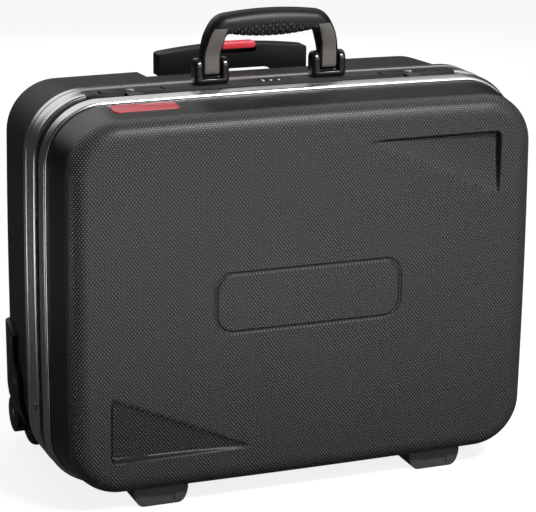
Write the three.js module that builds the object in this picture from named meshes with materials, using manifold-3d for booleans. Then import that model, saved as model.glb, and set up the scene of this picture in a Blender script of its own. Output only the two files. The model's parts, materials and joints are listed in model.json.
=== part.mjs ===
// Rolling tool case, closed and standing on its wheels and feet.
// Millimetres, +Z up, floor at z = 0. The lid half is in front (-Y), the base half behind (+Y).
// Depths are given as d, the distance behind the parting plane between the two halves.
import * as THREE from 'three';
import { ConvexGeometry } from 'three/addons/geometries/ConvexGeometry.js';
import Module from 'manifold-3d';

const wasm = await Module();
wasm.setup();

// Overall sizes
const WIDTH = 510;
const HEIGHT = 396.6;
const CORNER_RADIUS = 62;
const SIDE_BOW = 1.2;
const FLOOR_GAP = 8;
const LID_DEPTH = 81;
const BASE_DEPTH = 157.7;
const WHEEL_PROUD = 22.3;

// Clearances between neighbouring pieces
const GAP = 0.3;
const PIN_GAP = 0.15;

// Moulded shells
const SHELL_WALL = 3.3;
const SHELL_STEP = 5.4;
const LID_DRAFT = 5.1;
const LID_ROUND = 18.7;
const BASE_DRAFT = 4;
const BASE_ROUND = 17;

// Aluminium frames
const LID_BAND_WIDTH = 12;
const BASE_BAND_WIDTH = 37.5;
const BAND_OFFSET = 8;
const LIP_STEP = 5.5;
const FRAME_DEEP = 10.5;
const FRAME_WALL = 1.6;
const FLANGE_REACH = 10;
const RIM_COVER = 4;
const SEAL_HEIGHT = 1.6;

// Lock strip, latches and number wheels
const STRIP_CENTRE_X = -3;
const STRIP_FROM_SIDES = 58;
const STRIP_WIDTH = 19;
const STRIP_INSET = 0.4;
const STRIP_THICK = 8;
const LATCH_FROM_END = 48;
const LATCH_LENGTH = 62;
const LATCH_SLOT = 2.5;
const LATCH_WIDTH = 15;
const LATCH_THICK = 3;
const LATCH_BARREL_R = 2;
const HOOK_WIDTH = 16;
const HOOK_REACH = 13;
const KEY_R = 5;
const KEY_LENGTH = 4.6;
const DIAL_PANEL_CENTRE_X = -14;
const DIAL_PANEL_LENGTH = 64;
const DIAL_PANEL_THICK = 2;
const DIAL_CENTRE_X = -5;
const DIAL_PITCH = 8.4;
const DIAL_WIDTH = 6;
const DIAL_R = 6.5;
const DIAL_PROUD = 0.3;
const DIAL_COUNT = 3;
const DIAL_SHAFT_R = 1.5;

// Carry handle
const HANDLE_CENTRE_X = -6;
const BRACKET_OFFSET_X = 62.6;
const BRACKET_WIDTH = 34;
const BRACKET_DEPTH = 17;
const BRACKET_SETBACK = 3.1;
const BRACKET_RISE = 4.5;
const BRACKET_SLOT = 21;
const PIVOT_HEIGHT = 12.9;
const PIVOT_PIN_R = 2.5;
const LEG_WIDTH = 20.4;
const LEG_DEPTH = 13;
const GRIP_DEPTH = 26;
const GRIP_CROWN = 59;
const GRIP_UNDER = 31.5;
const GRIP_CORNER_X = 56;
const GRIP_CORNER_Z = 54.5;
const INLAY_THICK = 1.5;
const INLAY_HALF_WIDTH = 7.6;
const INLAY_TOP = 35;

// Telescopic pull handle
const PULL_FROM_BACK = 12.2;
const PULL_HALF_WIDTH = 83;
const PULL_THICK = 18;
const PULL_END_Z = 8.6;
const PULL_CROWN_Z = 14.2;
const PULL_ARCH_Z = -11.6;
const FINGER_HALF_WIDTH = 43;
const BUTTON_HALF_LENGTH = 25;
const BUTTON_HEIGHT = 7.2;
const BUTTON_PROUD = 2.2;
const BUTTON_DEPTH = 12;
const BUTTON_ROUND = 3.4;
const BUTTON_FRONT_PROUD = 0.3;
const BUTTON_TRAVEL = 4;
const NOTCH_HALF_WIDTH = 104;
const NOTCH_FRONT = 38;
const NOTCH_DROP = 22.6;
const TUBE_X = 64.5;
const TUBE_WIDTH = 22;
const TUBE_DEPTH = 15;
const TUBE_WALL = 1.2;
const TUBE_SOCKET = 18;
const BEZEL_THICK = 3;
const COVER_WALL = 2.5;
const COVER_HALF_WIDTH = 84;

// Wheels and their housings
const WHEEL_R = 36;
const TYRE_WIDTH = 28;
const HUB_R = 23;
const AXLE_R = 4;
const WHEEL_FROM_SIDE = 41.5;
const WELL_CLEAR = 4;
const WELL_SIDE_CLEAR = 3.5;
const HOUSING_WALL = 3.5;
const HOUSING_PROUD = 5;
const HOUSING_HEIGHT = 131;
const HOUSING_REACH = 60;
const SCREW_R = 2;
const SCREW_HEAD_R = 4.5;
const SCREW_HEAD_THICK = 2.4;
const CHEEK_R = 19.5;
const CHEEK_ROOM_R = 23;
const CHEEK_FROM_SIDE = 11.5;

// Feet
const FOOT_FROM_SIDE = 105.5;
const FOOT_FROM_FACE = 16;
const FOOT_DEPTH = 38;
const FOOT_TOP_WIDTH = 57;
const FOOT_BOTTOM_WIDTH = 35;

// Emblem panel, badge and corner recesses of the lid
const PANEL_HALF_LENGTH = 100;
const PANEL_HALF_HEIGHT = 32;
const PANEL_GROOVE = 4;
const PANEL_DEEP = 1;
const BADGE_FROM_SIDE = 100;
const BADGE_FROM_BAND = 16;
const BADGE_LENGTH = 66;
const BADGE_WIDTH = 20;
const BADGE_THICK = 1.6;
const BADGE_PROUD = 0.5;
const RECESS_FROM_SIDE = 49;
const RECESS_FROM_TOP = 46.3;
const RECESS_LENGTH = 150;
const RECESS_HEIGHT = 68;
const RECESS_DEEP = 4.5;

// Hinges and lid stays
const HINGE_OFFSET_X = 110;
const HINGE_LENGTH = 40;
const HINGE_LEAF_DEPTH = 24;
const HINGE_LEAF_THICK = 1.6;
const KNUCKLE_R = 3.5;
const HINGE_PIN_R = 1.5;
const HINGE_DROP = 1.8;
const STAY_PIVOT_D = 14;
const STAY_PIVOT_Z = 89;
const STAY_WIDTH = 12;
const STAY_THICK = 3;
const STAY_GAP = 0.8;
const STAY_RIVET_R = 2;
const LID_OPEN_DEG = 90;

// Places that follow from the sizes
const TOTAL_DEPTH = LID_DEPTH + BASE_DEPTH + WHEEL_PROUD;
const PARTING_Y = LID_DEPTH - TOTAL_DEPTH / 2;
const CENTRE_Z = FLOOR_GAP + HEIGHT / 2;
const TOP_Z = FLOOR_GAP + HEIGHT;
const Y = (d) => PARTING_Y + d;
const LID_BAND_D = -BAND_OFFSET - LID_BAND_WIDTH;
const BASE_BAND_D = BAND_OFFSET + GAP;
const BASE_BAND_END_D = BASE_BAND_D + BASE_BAND_WIDTH;
const LID_RIM_D = LID_BAND_D + 7;
const BASE_RIM_D = BASE_BAND_END_D - RIM_COVER - 0.8;
const LID_FLANGE_D = LID_BAND_D - RIM_COVER - 0.7;
const BASE_FLANGE_D = BASE_BAND_END_D + FLANGE_REACH;
const LID_FACE_INSET = SHELL_STEP + LID_DRAFT + LID_ROUND;
const BASE_SIDE_INSET = SHELL_STEP + BASE_DRAFT;
const STRIP_D = BASE_BAND_D + 0.1;
const STRIP_LENGTH = WIDTH - 2 * STRIP_FROM_SIDES;
const LATCH_OFFSET_X = STRIP_LENGTH / 2 - LATCH_FROM_END;
const LATCH_D = STRIP_D + 1.2;
const PIVOT_D = STRIP_D + BRACKET_SETBACK + BRACKET_DEPTH / 2;
const PIVOT_Z = TOP_Z + PIVOT_HEIGHT;
const AXLE_D = BASE_DEPTH + WHEEL_PROUD - WHEEL_R;
const WHEEL_CENTRE_X = WIDTH / 2 - WHEEL_FROM_SIDE;
const WELL_R = WHEEL_R + WELL_CLEAR;
const wellHalf = TYRE_WIDTH / 2 + WELL_SIDE_CLEAR;
const WELL_X = [WHEEL_CENTRE_X - wellHalf, WHEEL_CENTRE_X + wellHalf];
const NOTCH_FLOOR_Z = TOP_Z - NOTCH_DROP;
const PULL_D = BASE_DEPTH - PULL_FROM_BACK;
const NOTCH_START_D = PULL_D - NOTCH_FRONT;
const FOOT_OFFSET_X = WIDTH / 2 - FOOT_FROM_SIDE;
const BADGE_CENTRE_X = BADGE_FROM_SIDE - WIDTH / 2;
const BADGE_D = LID_BAND_D - BADGE_FROM_BAND;
const RECESS_CORNER_X = WIDTH / 2 - RECESS_FROM_SIDE;
const RECESS_CORNER_Z = HEIGHT / 2 - RECESS_FROM_TOP;
const TUBE_BOTTOM_Z = FLOOR_GAP + BASE_SIDE_INSET + BASE_ROUND + 6;
const HINGE_Z = FLOOR_GAP - HINGE_DROP;
const frameInnerX = WIDTH / 2 - SIDE_BOW - FRAME_DEEP;

// Materials
const plain = (color, roughness, metalness = 0) =>
  new THREE.MeshStandardMaterial({ color, roughness, metalness });
const shellBlack = plain(0x2b2c2e, 0.55);
const satinBlack = plain(0x1a1a1b, 0.4);
const lockGrey = plain(0x3a3a3b, 0.5);
const sealBlack = plain(0x0f0f10, 0.8);
const brightAluminium = plain(0xc4c5c6, 0.3, 1);
const tubeAluminium = plain(0x8f9194, 0.35, 1);
const steel = plain(0x9a9b9d, 0.3, 1);
const inlayGrey = plain(0x8a8784, 0.75);
const signalRed = plain(0xc8303f, 0.4);
const tyreBlack = plain(0x1d1d1e, 0.85);
const hubGrey = plain(0x4a4b4d, 0.55);

// Turns a three.js geometry into a solid that can be cut and joined
function solid(geometry) {
  return new wasm.Manifold(new wasm.Mesh(mergeCorners(geometry)));
}

// Joins corners that lie in the same place, and drops triangles that this closes up
function mergeCorners(geometry) {
  const position = geometry.attributes.position;
  const order = geometry.index ? geometry.index.array : [...Array(position.count).keys()];
  const known = new Map();
  const corners = [];
  const place = (i) => {
    const point = [position.getX(i), position.getY(i), position.getZ(i)];
    const key = point.map((value) => Math.round(value * 1e4)).join(' ');
    if (!known.has(key)) {
      known.set(key, known.size);
      corners.push(...point);
    }
    return known.get(key);
  };
  const triangles = [];
  for (let i = 0; i < order.length; i += 3) {
    const [a, b, c] = [place(order[i]), place(order[i + 1]), place(order[i + 2])];
    if (a !== b && b !== c && c !== a) triangles.push(a, b, c);
  }
  return { numProp: 3, vertProperties: new Float32Array(corners), triVerts: new Uint32Array(triangles) };
}

// Adds one finished solid to the case as a named mesh
const toolCase = new THREE.Group();
function addPiece(name, shape, material) {
  const mesh = shape.getMesh();
  const geometry = new THREE.BufferGeometry();
  geometry.setAttribute('position', new THREE.BufferAttribute(mesh.vertProperties, 3));
  geometry.setIndex(new THREE.BufferAttribute(mesh.triVerts, 1));
  const flat = geometry.toNonIndexed();
  flat.computeVertexNormals();
  const piece = new THREE.Mesh(flat, material);
  piece.name = name;
  toolCase.add(piece);
}

// Box between two corners
function box(x0, x1, y0, y1, z0, z1) {
  const geometry = new THREE.BoxGeometry(x1 - x0, y1 - y0, z1 - z0);
  geometry.translate((x0 + x1) / 2, (y0 + y1) / 2, (z0 + z1) / 2);
  return solid(geometry);
}

// Round bar along X
function rodX(radius, x0, x1, y, z, sides = 24) {
  const geometry = new THREE.CylinderGeometry(radius, radius, x1 - x0, sides);
  geometry.rotateZ(Math.PI / 2);
  geometry.translate((x0 + x1) / 2, y, z);
  return solid(geometry);
}

// Round bar along Z
function rodZ(radius, x, y, z0, z1, sides = 24) {
  const geometry = new THREE.CylinderGeometry(radius, radius, z1 - z0, sides);
  geometry.rotateX(Math.PI / 2);
  geometry.translate(x, y, (z0 + z1) / 2);
  return solid(geometry);
}

// Outline drawn in the X-Z plane and drawn out along Y from y0 to y1
function drawnAlongY(shape, y0, y1, bevel = 0, curveSegments = 12) {
  const geometry = new THREE.ExtrudeGeometry(shape, {
    depth: y1 - y0 - 2 * bevel,
    bevelEnabled: bevel > 0,
    bevelThickness: bevel,
    bevelSize: bevel,
    bevelOffset: -bevel,
    bevelSegments: 2,
    curveSegments,
  });
  geometry.rotateX(Math.PI / 2);
  geometry.translate(0, y1 - bevel, 0);
  return solid(geometry);
}

// Outline drawn in the Y-Z plane and drawn out along X from x0 to x1
function drawnAlongX(shape, x0, x1, curveSegments = 12) {
  const geometry = new THREE.ExtrudeGeometry(shape, { depth: x1 - x0, bevelEnabled: false, curveSegments });
  geometry.rotateX(Math.PI / 2);
  geometry.rotateZ(Math.PI / 2);
  geometry.translate(x0, 0, 0);
  return solid(geometry);
}

// Outline drawn in the X-Y plane and drawn out along Z from z0 to z1
function drawnAlongZ(shape, z0, z1, curveSegments = 8) {
  const geometry = new THREE.ExtrudeGeometry(shape, { depth: z1 - z0, bevelEnabled: false, curveSegments });
  geometry.translate(0, 0, z0);
  return solid(geometry);
}

// Rectangle with rounded corners about a centre
function roundedRectangle(centreX, centreY, width, height, radius) {
  const [x, y] = [centreX - width / 2, centreY - height / 2];
  const shape = new THREE.Shape();
  shape.moveTo(x + radius, y);
  shape.lineTo(x + width - radius, y);
  shape.absarc(x + width - radius, y + radius, radius, -Math.PI / 2, 0);
  shape.lineTo(x + width, y + height - radius);
  shape.absarc(x + width - radius, y + height - radius, radius, 0, Math.PI / 2);
  shape.lineTo(x + radius, y + height);
  shape.absarc(x + radius, y + height - radius, radius, Math.PI / 2, Math.PI);
  shape.lineTo(x, y + radius);
  shape.absarc(x + radius, y + radius, radius, Math.PI, 1.5 * Math.PI);
  return shape;
}

// Front-view outline of the case, drawn in from the frames by inset: rounded corners, bowed sides
function caseOutline(inset) {
  const cornerSteps = 7;
  const sideSteps = 2;
  const radius = CORNER_RADIUS - inset;
  const halfX = WIDTH / 2 - inset;
  const halfZ = HEIGHT / 2 - inset;
  const spanX = halfX - SIDE_BOW - radius;
  const spanZ = halfZ - SIDE_BOW - radius;
  const points = [];
  const corner = (signX, signZ, start) => {
    for (let i = 0; i <= cornerSteps; i += 1) {
      const angle = start + (i / cornerSteps) * Math.PI / 2;
      points.push([signX * spanX + radius * Math.cos(angle), signZ * spanZ + radius * Math.sin(angle)]);
    }
  };
  const side = (fromX, fromZ, toX, toZ, outX, outZ) => {
    for (let i = 1; i < sideSteps; i += 1) {
      const t = i / sideSteps;
      const bulge = SIDE_BOW * (1 - (2 * t - 1) ** 2);
      points.push([fromX + (toX - fromX) * t + outX * bulge, fromZ + (toZ - fromZ) * t + outZ * bulge]);
    }
  };
  const [edgeX, edgeZ] = [halfX - SIDE_BOW, halfZ - SIDE_BOW];
  corner(1, 1, 0);
  side(spanX, edgeZ, -spanX, edgeZ, 0, 1);
  corner(-1, 1, Math.PI / 2);
  side(-edgeX, spanZ, -edgeX, -spanZ, -1, 0);
  corner(-1, -1, Math.PI);
  side(-spanX, -edgeZ, spanX, -edgeZ, 0, -1);
  corner(1, -1, 1.5 * Math.PI);
  side(edgeX, -spanZ, edgeX, spanZ, 1, 0);
  return points;
}

// Solid whose outline follows a list of [inset, d] levels; a closed list makes a ring
function levelled(levels, closed = false) {
  const positions = [];
  const triangles = [];
  const rings = levels.map(([inset, d]) => caseOutline(inset).map(([x, z]) => [x, Y(d), CENTRE_Z + z]));
  const count = rings[0].length;
  rings.forEach((ring) => ring.forEach((point) => positions.push(...point)));
  const last = closed ? rings.length : rings.length - 1;
  for (let i = 0; i < last; i += 1) {
    const next = (i + 1) % rings.length;
    for (let j = 0; j < count; j += 1) {
      const k = (j + 1) % count;
      const [a, b, c, e] = [i * count + j, i * count + k, next * count + k, next * count + j];
      triangles.push(a, b, c, a, c, e);
    }
  }
  if (!closed) {
    [0, rings.length - 1].forEach((i) => {
      const middle = positions.length / 3;
      positions.push(0, Y(levels[i][1]), CENTRE_Z);
      for (let j = 0; j < count; j += 1) {
        const [a, b] = [i * count + j, i * count + ((j + 1) % count)];
        triangles.push(...(i === 0 ? [middle, b, a] : [middle, a, b]));
      }
    });
  }
  return turnedOutward(positions, triangles);
}

// Solid from corners and triangles, turned so that its faces look outward
function turnedOutward(positions, triangles) {
  let volume = 0;
  const corner = (i) => new THREE.Vector3().fromArray(positions, 3 * i);
  for (let i = 0; i < triangles.length; i += 3) {
    const [a, b, c] = [corner(triangles[i]), corner(triangles[i + 1]), corner(triangles[i + 2])];
    volume += a.dot(b.cross(c));
  }
  if (volume < 0) triangles.reverse();
  const geometry = new THREE.BufferGeometry();
  geometry.setAttribute('position', new THREE.Float32BufferAttribute(positions, 3));
  geometry.setIndex(triangles);
  return solid(geometry);
}

// Straight block with the case's outline, between two depths
const outlineBlock = (inset, d0, d1) => levelled([[inset, d0], [inset, d1]]);

// Piece of the case's top wall between two insets, two depths and two widths
function topSlab(x0, x1, d0, d1, outerInset, innerInset) {
  const span = box(x0, x1, Y(d0), Y(d1), CENTRE_Z, TOP_Z + 10);
  return outlineBlock(outerInset, d0 - 1, d1 + 1)
    .subtract(outlineBlock(innerInset, d0 - 2, d1 + 2))
    .intersect(span);
}

// Levels of a shell's outside from its rim to its flat face, drawn in all round by shift
function shellLevels(rim, straight, wallEnd, face, draft, round, shift) {
  const steps = 5;
  const toward = Math.sign(face - rim);
  const levels = [[SHELL_STEP + shift, rim], [SHELL_STEP + shift, straight]];
  for (let i = 0; i <= steps; i += 1) {
    const angle = (i / steps) * Math.PI / 2;
    const inset = SHELL_STEP + draft + round - (round - shift) * Math.cos(angle);
    levels.push([inset, wallEnd + toward * (round - shift) * Math.sin(angle)]);
  }
  return levels;
}

const lidLevels = (shift) =>
  shellLevels(LID_RIM_D, LID_FLANGE_D - 0.6, -LID_DEPTH + LID_ROUND, -LID_DEPTH, LID_DRAFT, LID_ROUND, shift);
const baseLevels = (shift) =>
  shellLevels(
    BASE_RIM_D, BASE_FLANGE_D + 2, BASE_DEPTH - BASE_ROUND, BASE_DEPTH, BASE_DRAFT, BASE_ROUND, shift);

// Hollow shell: outside and inside levels joined at the rim
const hollowShell = (levelsAt) => levelled([...levelsAt(0).reverse(), ...levelsAt(SHELL_WALL)]);

// Triangle recess in one corner of the lid's face, deepest at the corner; side is 1 or -1
function cornerRecess(side, deeper, wider) {
  const face = Y(-LID_DEPTH);
  const corner = [side * (RECESS_CORNER_X + wider), CENTRE_Z + side * (RECESS_CORNER_Z + wider)];
  const along = [corner[0] - side * (RECESS_LENGTH + 3 * wider), corner[1]];
  const down = [corner[0], corner[1] - side * (RECESS_HEIGHT + 3 * wider)];
  const points = [];
  [along, corner, down].forEach(([x, z]) => {
    points.push(new THREE.Vector3(x, face - (deeper ? -0.5 : 2), z));
    points.push(new THREE.Vector3(x, face + deeper, z));
  });
  points.push(new THREE.Vector3(corner[0], face + deeper + RECESS_DEEP, corner[1]));
  return solid(new ConvexGeometry(points));
}

// Front shell: recesses, blank panel groove and badge seat
function makeFrontShell() {
  let shell = hollowShell(lidLevels);
  [1, -1].forEach((side) => {
    shell = shell.add(cornerRecess(side, SHELL_WALL, SHELL_WALL));
    shell = shell.subtract(cornerRecess(side, 0, 0));
  });
  const face = Y(-LID_DEPTH);
  const panel = (grow) => roundedRectangle(
    0, CENTRE_Z, 2 * (PANEL_HALF_LENGTH + grow), 2 * (PANEL_HALF_HEIGHT + grow), 20 + grow);
  const groove = drawnAlongY(panel(0), face - 2, face + PANEL_DEEP, 0, 5)
    .subtract(drawnAlongY(panel(-PANEL_GROOVE), face - 3, face + PANEL_DEEP + 1, 0, 5));
  shell = shell.subtract(groove).subtract(badgeBlock(GAP, 3));
  return shell;
}

// Block of the badge, lying on the drafted top wall of the lid
function badgeBlock(clearance, above) {
  const straightEnd = LID_FLANGE_D - 0.6;
  const wallEnd = -LID_DEPTH + LID_ROUND;
  const slope = Math.atan2(LID_DRAFT, straightEnd - wallEnd);
  const inset = SHELL_STEP + LID_DRAFT * (straightEnd - BADGE_D) / (straightEnd - wallEnd);
  const drop = TOP_Z - SIDE_BOW * (BADGE_CENTRE_X / (WIDTH / 2 - CORNER_RADIUS)) ** 2 - inset;
  const outline = roundedRectangle(
    0, 0, BADGE_LENGTH + 2 * clearance, BADGE_WIDTH + 2 * clearance, 5 + clearance);
  const thick = BADGE_THICK + clearance + above;
  const geometry = new THREE.ExtrudeGeometry(outline, { depth: thick, bevelEnabled: false, curveSegments: 5 });
  geometry.translate(0, 0, BADGE_PROUD - BADGE_THICK - clearance);
  geometry.rotateX(slope);
  geometry.translate(BADGE_CENTRE_X, Y(BADGE_D), drop);
  return solid(geometry);
}

// Lid's aluminium profile: crowned band outside, channel for the shell's rim, tongue under the seal
function makeLidFrame() {
  const slotOuter = SHELL_STEP - GAP;
  const slotInner = FRAME_DEEP - FRAME_WALL + 0.1;
  const slotEnd = LID_RIM_D + GAP;
  const [front, rear] = [LID_BAND_D, -BAND_OFFSET];
  const profile = [
    [4.3, front], [2.7, front + 0.8], [1.2, front + 3.5], [0.4, front + 7], [0.4, rear - 2.5], [1, rear - 0.6],
    [1.9, rear], [LIP_STEP, rear], [LIP_STEP, -GAP], [FRAME_DEEP, -GAP], [FRAME_DEEP, LID_FLANGE_D],
    [slotInner, LID_FLANGE_D], [slotInner, slotEnd], [slotOuter, slotEnd], [slotOuter, front],
  ];
  const flangeX = frameInnerX + FRAME_WALL + 1;
  return levelled(profile, true)
    .subtract(rodX(STAY_RIVET_R + GAP, -flangeX, flangeX, Y(-STAY_PIVOT_D), STAY_PIVOT_Z, 20));
}

// Base's aluminium profile: ribbed band outside, channel for the shell's rim, lip under the seal
function makeBaseFrame() {
  const slotOuter = SHELL_STEP - GAP;
  const slotInner = FRAME_DEEP - FRAME_WALL;
  const [front, rear] = [BASE_BAND_D, BASE_BAND_END_D];
  const stripEnd = STRIP_D + STRIP_WIDTH;
  const profile = [
    [1.5, front], [0.4, front + 1.3], [0, front + 3.7], [0, front + 9.2], [0.7, front + 9.9], [0.7, rear - 11],
    [0, rear - 10.3], [0, rear - 2.3], [0.4, rear - 0.8], [1.6, rear], [slotOuter, rear],
    [slotOuter, rear - RIM_COVER], [2.4, rear - RIM_COVER], [2.4, stripEnd + 2.8], [slotInner, stripEnd + 2.8],
    [slotInner, BASE_FLANGE_D], [FRAME_DEEP, BASE_FLANGE_D], [FRAME_DEEP, GAP], [LIP_STEP, GAP],
    [LIP_STEP, front],
  ];
  const chamber = [
    [2.4, front + 2.7], [2.4, stripEnd + 0.5], [slotInner, stripEnd + 0.5], [slotInner, front + 2.7],
  ];
  const [x0, x1] = [STRIP_CENTRE_X - STRIP_LENGTH / 2 - GAP, STRIP_CENTRE_X + STRIP_LENGTH / 2 + GAP];
  return levelled(profile, true)
    .subtract(levelled(chamber, true))
    .subtract(topSlab(x0, x1, STRIP_D - 1, stripEnd + GAP, -2, slotInner))
    .subtract(dialBox(GAP, 20))
    .subtract(rodX(STAY_RIVET_R + GAP, -WIDTH, WIDTH, Y(STAY_PIVOT_D), STAY_PIVOT_Z, 20));
}

// Space that the number wheels take below the strip, with some clearance
function dialBox(clearance, up) {
  const half = DIAL_COUNT * DIAL_PITCH / 2 + 4 + clearance;
  const middle = Y(dialD());
  const wide = DIAL_R + 2.5 + clearance;
  const bottom = dialZ() - DIAL_R - 2.5 - clearance;
  const top = TOP_Z - STRIP_INSET - STRIP_THICK + up;
  return box(DIAL_CENTRE_X - half, DIAL_CENTRE_X + half, middle - wide, middle + wide, bottom, top);
}

// Axis of the number wheels
function dialD() {
  return STRIP_D + STRIP_WIDTH / 2;
}
function dialZ() {
  return TOP_Z - STRIP_INSET + DIAL_PROUD - DIAL_R;
}

// Seal ring between the two frames, lying on one frame's lip
const makeSeal = (d0, d1) => {
  const inner = LIP_STEP - GAP;
  const outer = inner - SEAL_HEIGHT;
  return levelled([[inner, d0], [inner, d1], [outer, d1], [outer, d0]], true);
};

// Lock strip: pockets for latches, number wheels and their panel, slots for the hooks
function makeLockStrip() {
  const half = STRIP_LENGTH / 2;
  let strip = topSlab(
    STRIP_CENTRE_X - half, STRIP_CENTRE_X + half, STRIP_D, STRIP_D + STRIP_WIDTH,
    STRIP_INSET, STRIP_INSET + STRIP_THICK);
  strip = strip.add(dialBox(0, 2));
  [-1, 1].forEach((side) => {
    const x = STRIP_CENTRE_X + side * LATCH_OFFSET_X;
    const reach = LATCH_LENGTH / 2 + LATCH_SLOT;
    const rear = LATCH_D + LATCH_WIDTH + 0.4;
    const floor = latchTop(x) - KEY_LENGTH - 2;
    strip = strip.subtract(box(x - reach, x + reach, Y(LATCH_D - 0.4), Y(rear), floor, TOP_Z + 5));
    strip = strip.subtract(box(
      x - HOOK_WIDTH / 2 - 0.5, x + HOOK_WIDTH / 2 + 0.5, Y(STRIP_D - 1), Y(LATCH_D),
      latchTop(x) - 3.6, TOP_Z + 5));
    strip = strip.subtract(rodX(1.2 + PIN_GAP, x - reach - 1.8, x + reach + 1.8, Y(barrelD()), barrelZ(x), 16));
  });
  const wide = LATCH_WIDTH / 2 + GAP;
  strip = strip.subtract(box(
    DIAL_PANEL_CENTRE_X - DIAL_PANEL_LENGTH / 2 - GAP, DIAL_PANEL_CENTRE_X + DIAL_PANEL_LENGTH / 2 + GAP,
    Y(dialD()) - wide, Y(dialD()) + wide, dialPanelFloor() - GAP, TOP_Z + 5));
  const dialReach = DIAL_COUNT * DIAL_PITCH / 2;
  strip = strip.subtract(box(
    DIAL_CENTRE_X - dialReach, DIAL_CENTRE_X + dialReach, Y(dialD()) - DIAL_R - 0.6, Y(dialD()) + DIAL_R + 0.6,
    dialZ() - DIAL_R - 0.6, TOP_Z + 5));
  return strip.subtract(rodX(
    DIAL_SHAFT_R + PIN_GAP, DIAL_CENTRE_X - dialReach - 2.5, DIAL_CENTRE_X + dialReach + 2.5,
    Y(dialD()), dialZ(), 16));
}

// Height of the strip's surface above a latch, and the line that the latch turns about
const latchTop = (x) =>
  TOP_Z - STRIP_INSET - SIDE_BOW * ((Math.abs(x) + LATCH_LENGTH / 2) / (WIDTH / 2)) ** 2;
const barrelD = () => LATCH_D + LATCH_WIDTH - LATCH_BARREL_R;
const barrelZ = (x) => latchTop(x) - LATCH_BARREL_R - 0.6;
const dialPanelFloor = () => TOP_Z - STRIP_INSET - DIAL_PANEL_THICK;

// Latch lever: plate with a rear barrel, a hook over the gap and a boss for the key cylinder
function makeLatch(x) {
  const half = LATCH_LENGTH / 2;
  const top = latchTop(x);
  const [y, z] = [Y(barrelD()), barrelZ(x)];
  const keyY = Y(LATCH_D + LATCH_WIDTH / 2 - 0.8);
  return box(x - half, x + half, Y(LATCH_D), y, top - LATCH_THICK, top)
    .add(rodX(LATCH_BARREL_R, x - half, x + half, y, z, 16))
    .add(rodX(1.2, x - half - LATCH_SLOT - 1.5, x + half + LATCH_SLOT + 1.5, y, z, 16))
    .add(box(
      x - HOOK_WIDTH / 2, x + HOOK_WIDTH / 2, Y(STRIP_D) - HOOK_REACH, Y(LATCH_D + 1), top - 2.9, top - 0.7))
    .add(rodZ(KEY_R + 1.5, x, keyY, top - KEY_LENGTH - 1.4, top - 1))
    .subtract(rodZ(KEY_R + GAP, x, keyY, top - KEY_LENGTH - GAP + 0.6, top + 2));
}

// Key cylinder with its key slot
function makeKeyCylinder(x) {
  const top = latchTop(x) + 0.6;
  const keyY = Y(LATCH_D + LATCH_WIDTH / 2 - 0.8);
  return rodZ(KEY_R, x, keyY, top - KEY_LENGTH, top)
    .subtract(box(x - 3.2, x + 3.2, keyY - 0.6, keyY + 0.6, top - 3, top + 1));
}

// Panel round the number wheels
function makeDialPanel() {
  const half = DIAL_PANEL_LENGTH / 2;
  const wide = LATCH_WIDTH / 2;
  let panel = topSlab(
    DIAL_PANEL_CENTRE_X - half, DIAL_PANEL_CENTRE_X + half, dialD() - wide, dialD() + wide,
    STRIP_INSET, STRIP_INSET + 2 * STRIP_THICK);
  const reach = 2 * DIAL_PANEL_LENGTH;
  panel = panel.intersect(box(-reach, reach, Y(0), Y(BASE_DEPTH), dialPanelFloor(), TOP_Z));
  for (let i = 0; i < DIAL_COUNT; i += 1) {
    const x = dialX(i);
    const hole = DIAL_WIDTH / 2 + GAP;
    panel = panel.subtract(box(
      x - hole, x + hole, Y(dialD()) - DIAL_R + 0.4, Y(dialD()) + DIAL_R - 0.4,
      dialPanelFloor() - 1, TOP_Z + 1));
  }
  return panel;
}

const dialX = (i) => DIAL_CENTRE_X + (i - (DIAL_COUNT - 1) / 2) * DIAL_PITCH;

// Number wheel: ten flats round its rim
function makeDial(i) {
  const x = dialX(i);
  const flats = 10;
  return rodX(DIAL_R, x - DIAL_WIDTH / 2, x + DIAL_WIDTH / 2, Y(dialD()), dialZ(), flats)
    .subtract(rodX(DIAL_SHAFT_R + PIN_GAP, x - DIAL_WIDTH, x + DIAL_WIDTH, Y(dialD()), dialZ(), 16));
}

// Handle bracket: two rounded ears joined by a base that follows the frame's top
function makeBracket(x) {
  const radius = BRACKET_DEPTH / 2;
  const [y, z] = [Y(PIVOT_D), PIVOT_Z];
  const crown = z + BRACKET_RISE;
  const side = new THREE.Shape();
  side.moveTo(y - radius, TOP_Z - 6);
  side.lineTo(y - radius, crown);
  side.absarc(y, crown, radius, Math.PI, 0, true);
  side.lineTo(y + radius, TOP_Z - 6);
  const half = BRACKET_WIDTH / 2;
  const slotFloor = z - LEG_DEPTH / 2 - 1.2;
  return drawnAlongX(side, x - half, x + half, 8)
    .subtract(box(
      x - BRACKET_SLOT / 2, x + BRACKET_SLOT / 2, y - radius - 1, y + radius + 1, slotFloor, crown + radius + 1))
    .subtract(outlineBlock(-GAP, PIVOT_D - BRACKET_DEPTH, PIVOT_D + BRACKET_DEPTH))
    .subtract(rodX(PIVOT_PIN_R + PIN_GAP, x - half + 2, x + half - 2, y, z));
}

const makePivotPin = (x) =>
  rodX(PIVOT_PIN_R, x - BRACKET_WIDTH / 2 + 2.4, x + BRACKET_WIDTH / 2 - 2.4, Y(PIVOT_D), PIVOT_Z);

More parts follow.
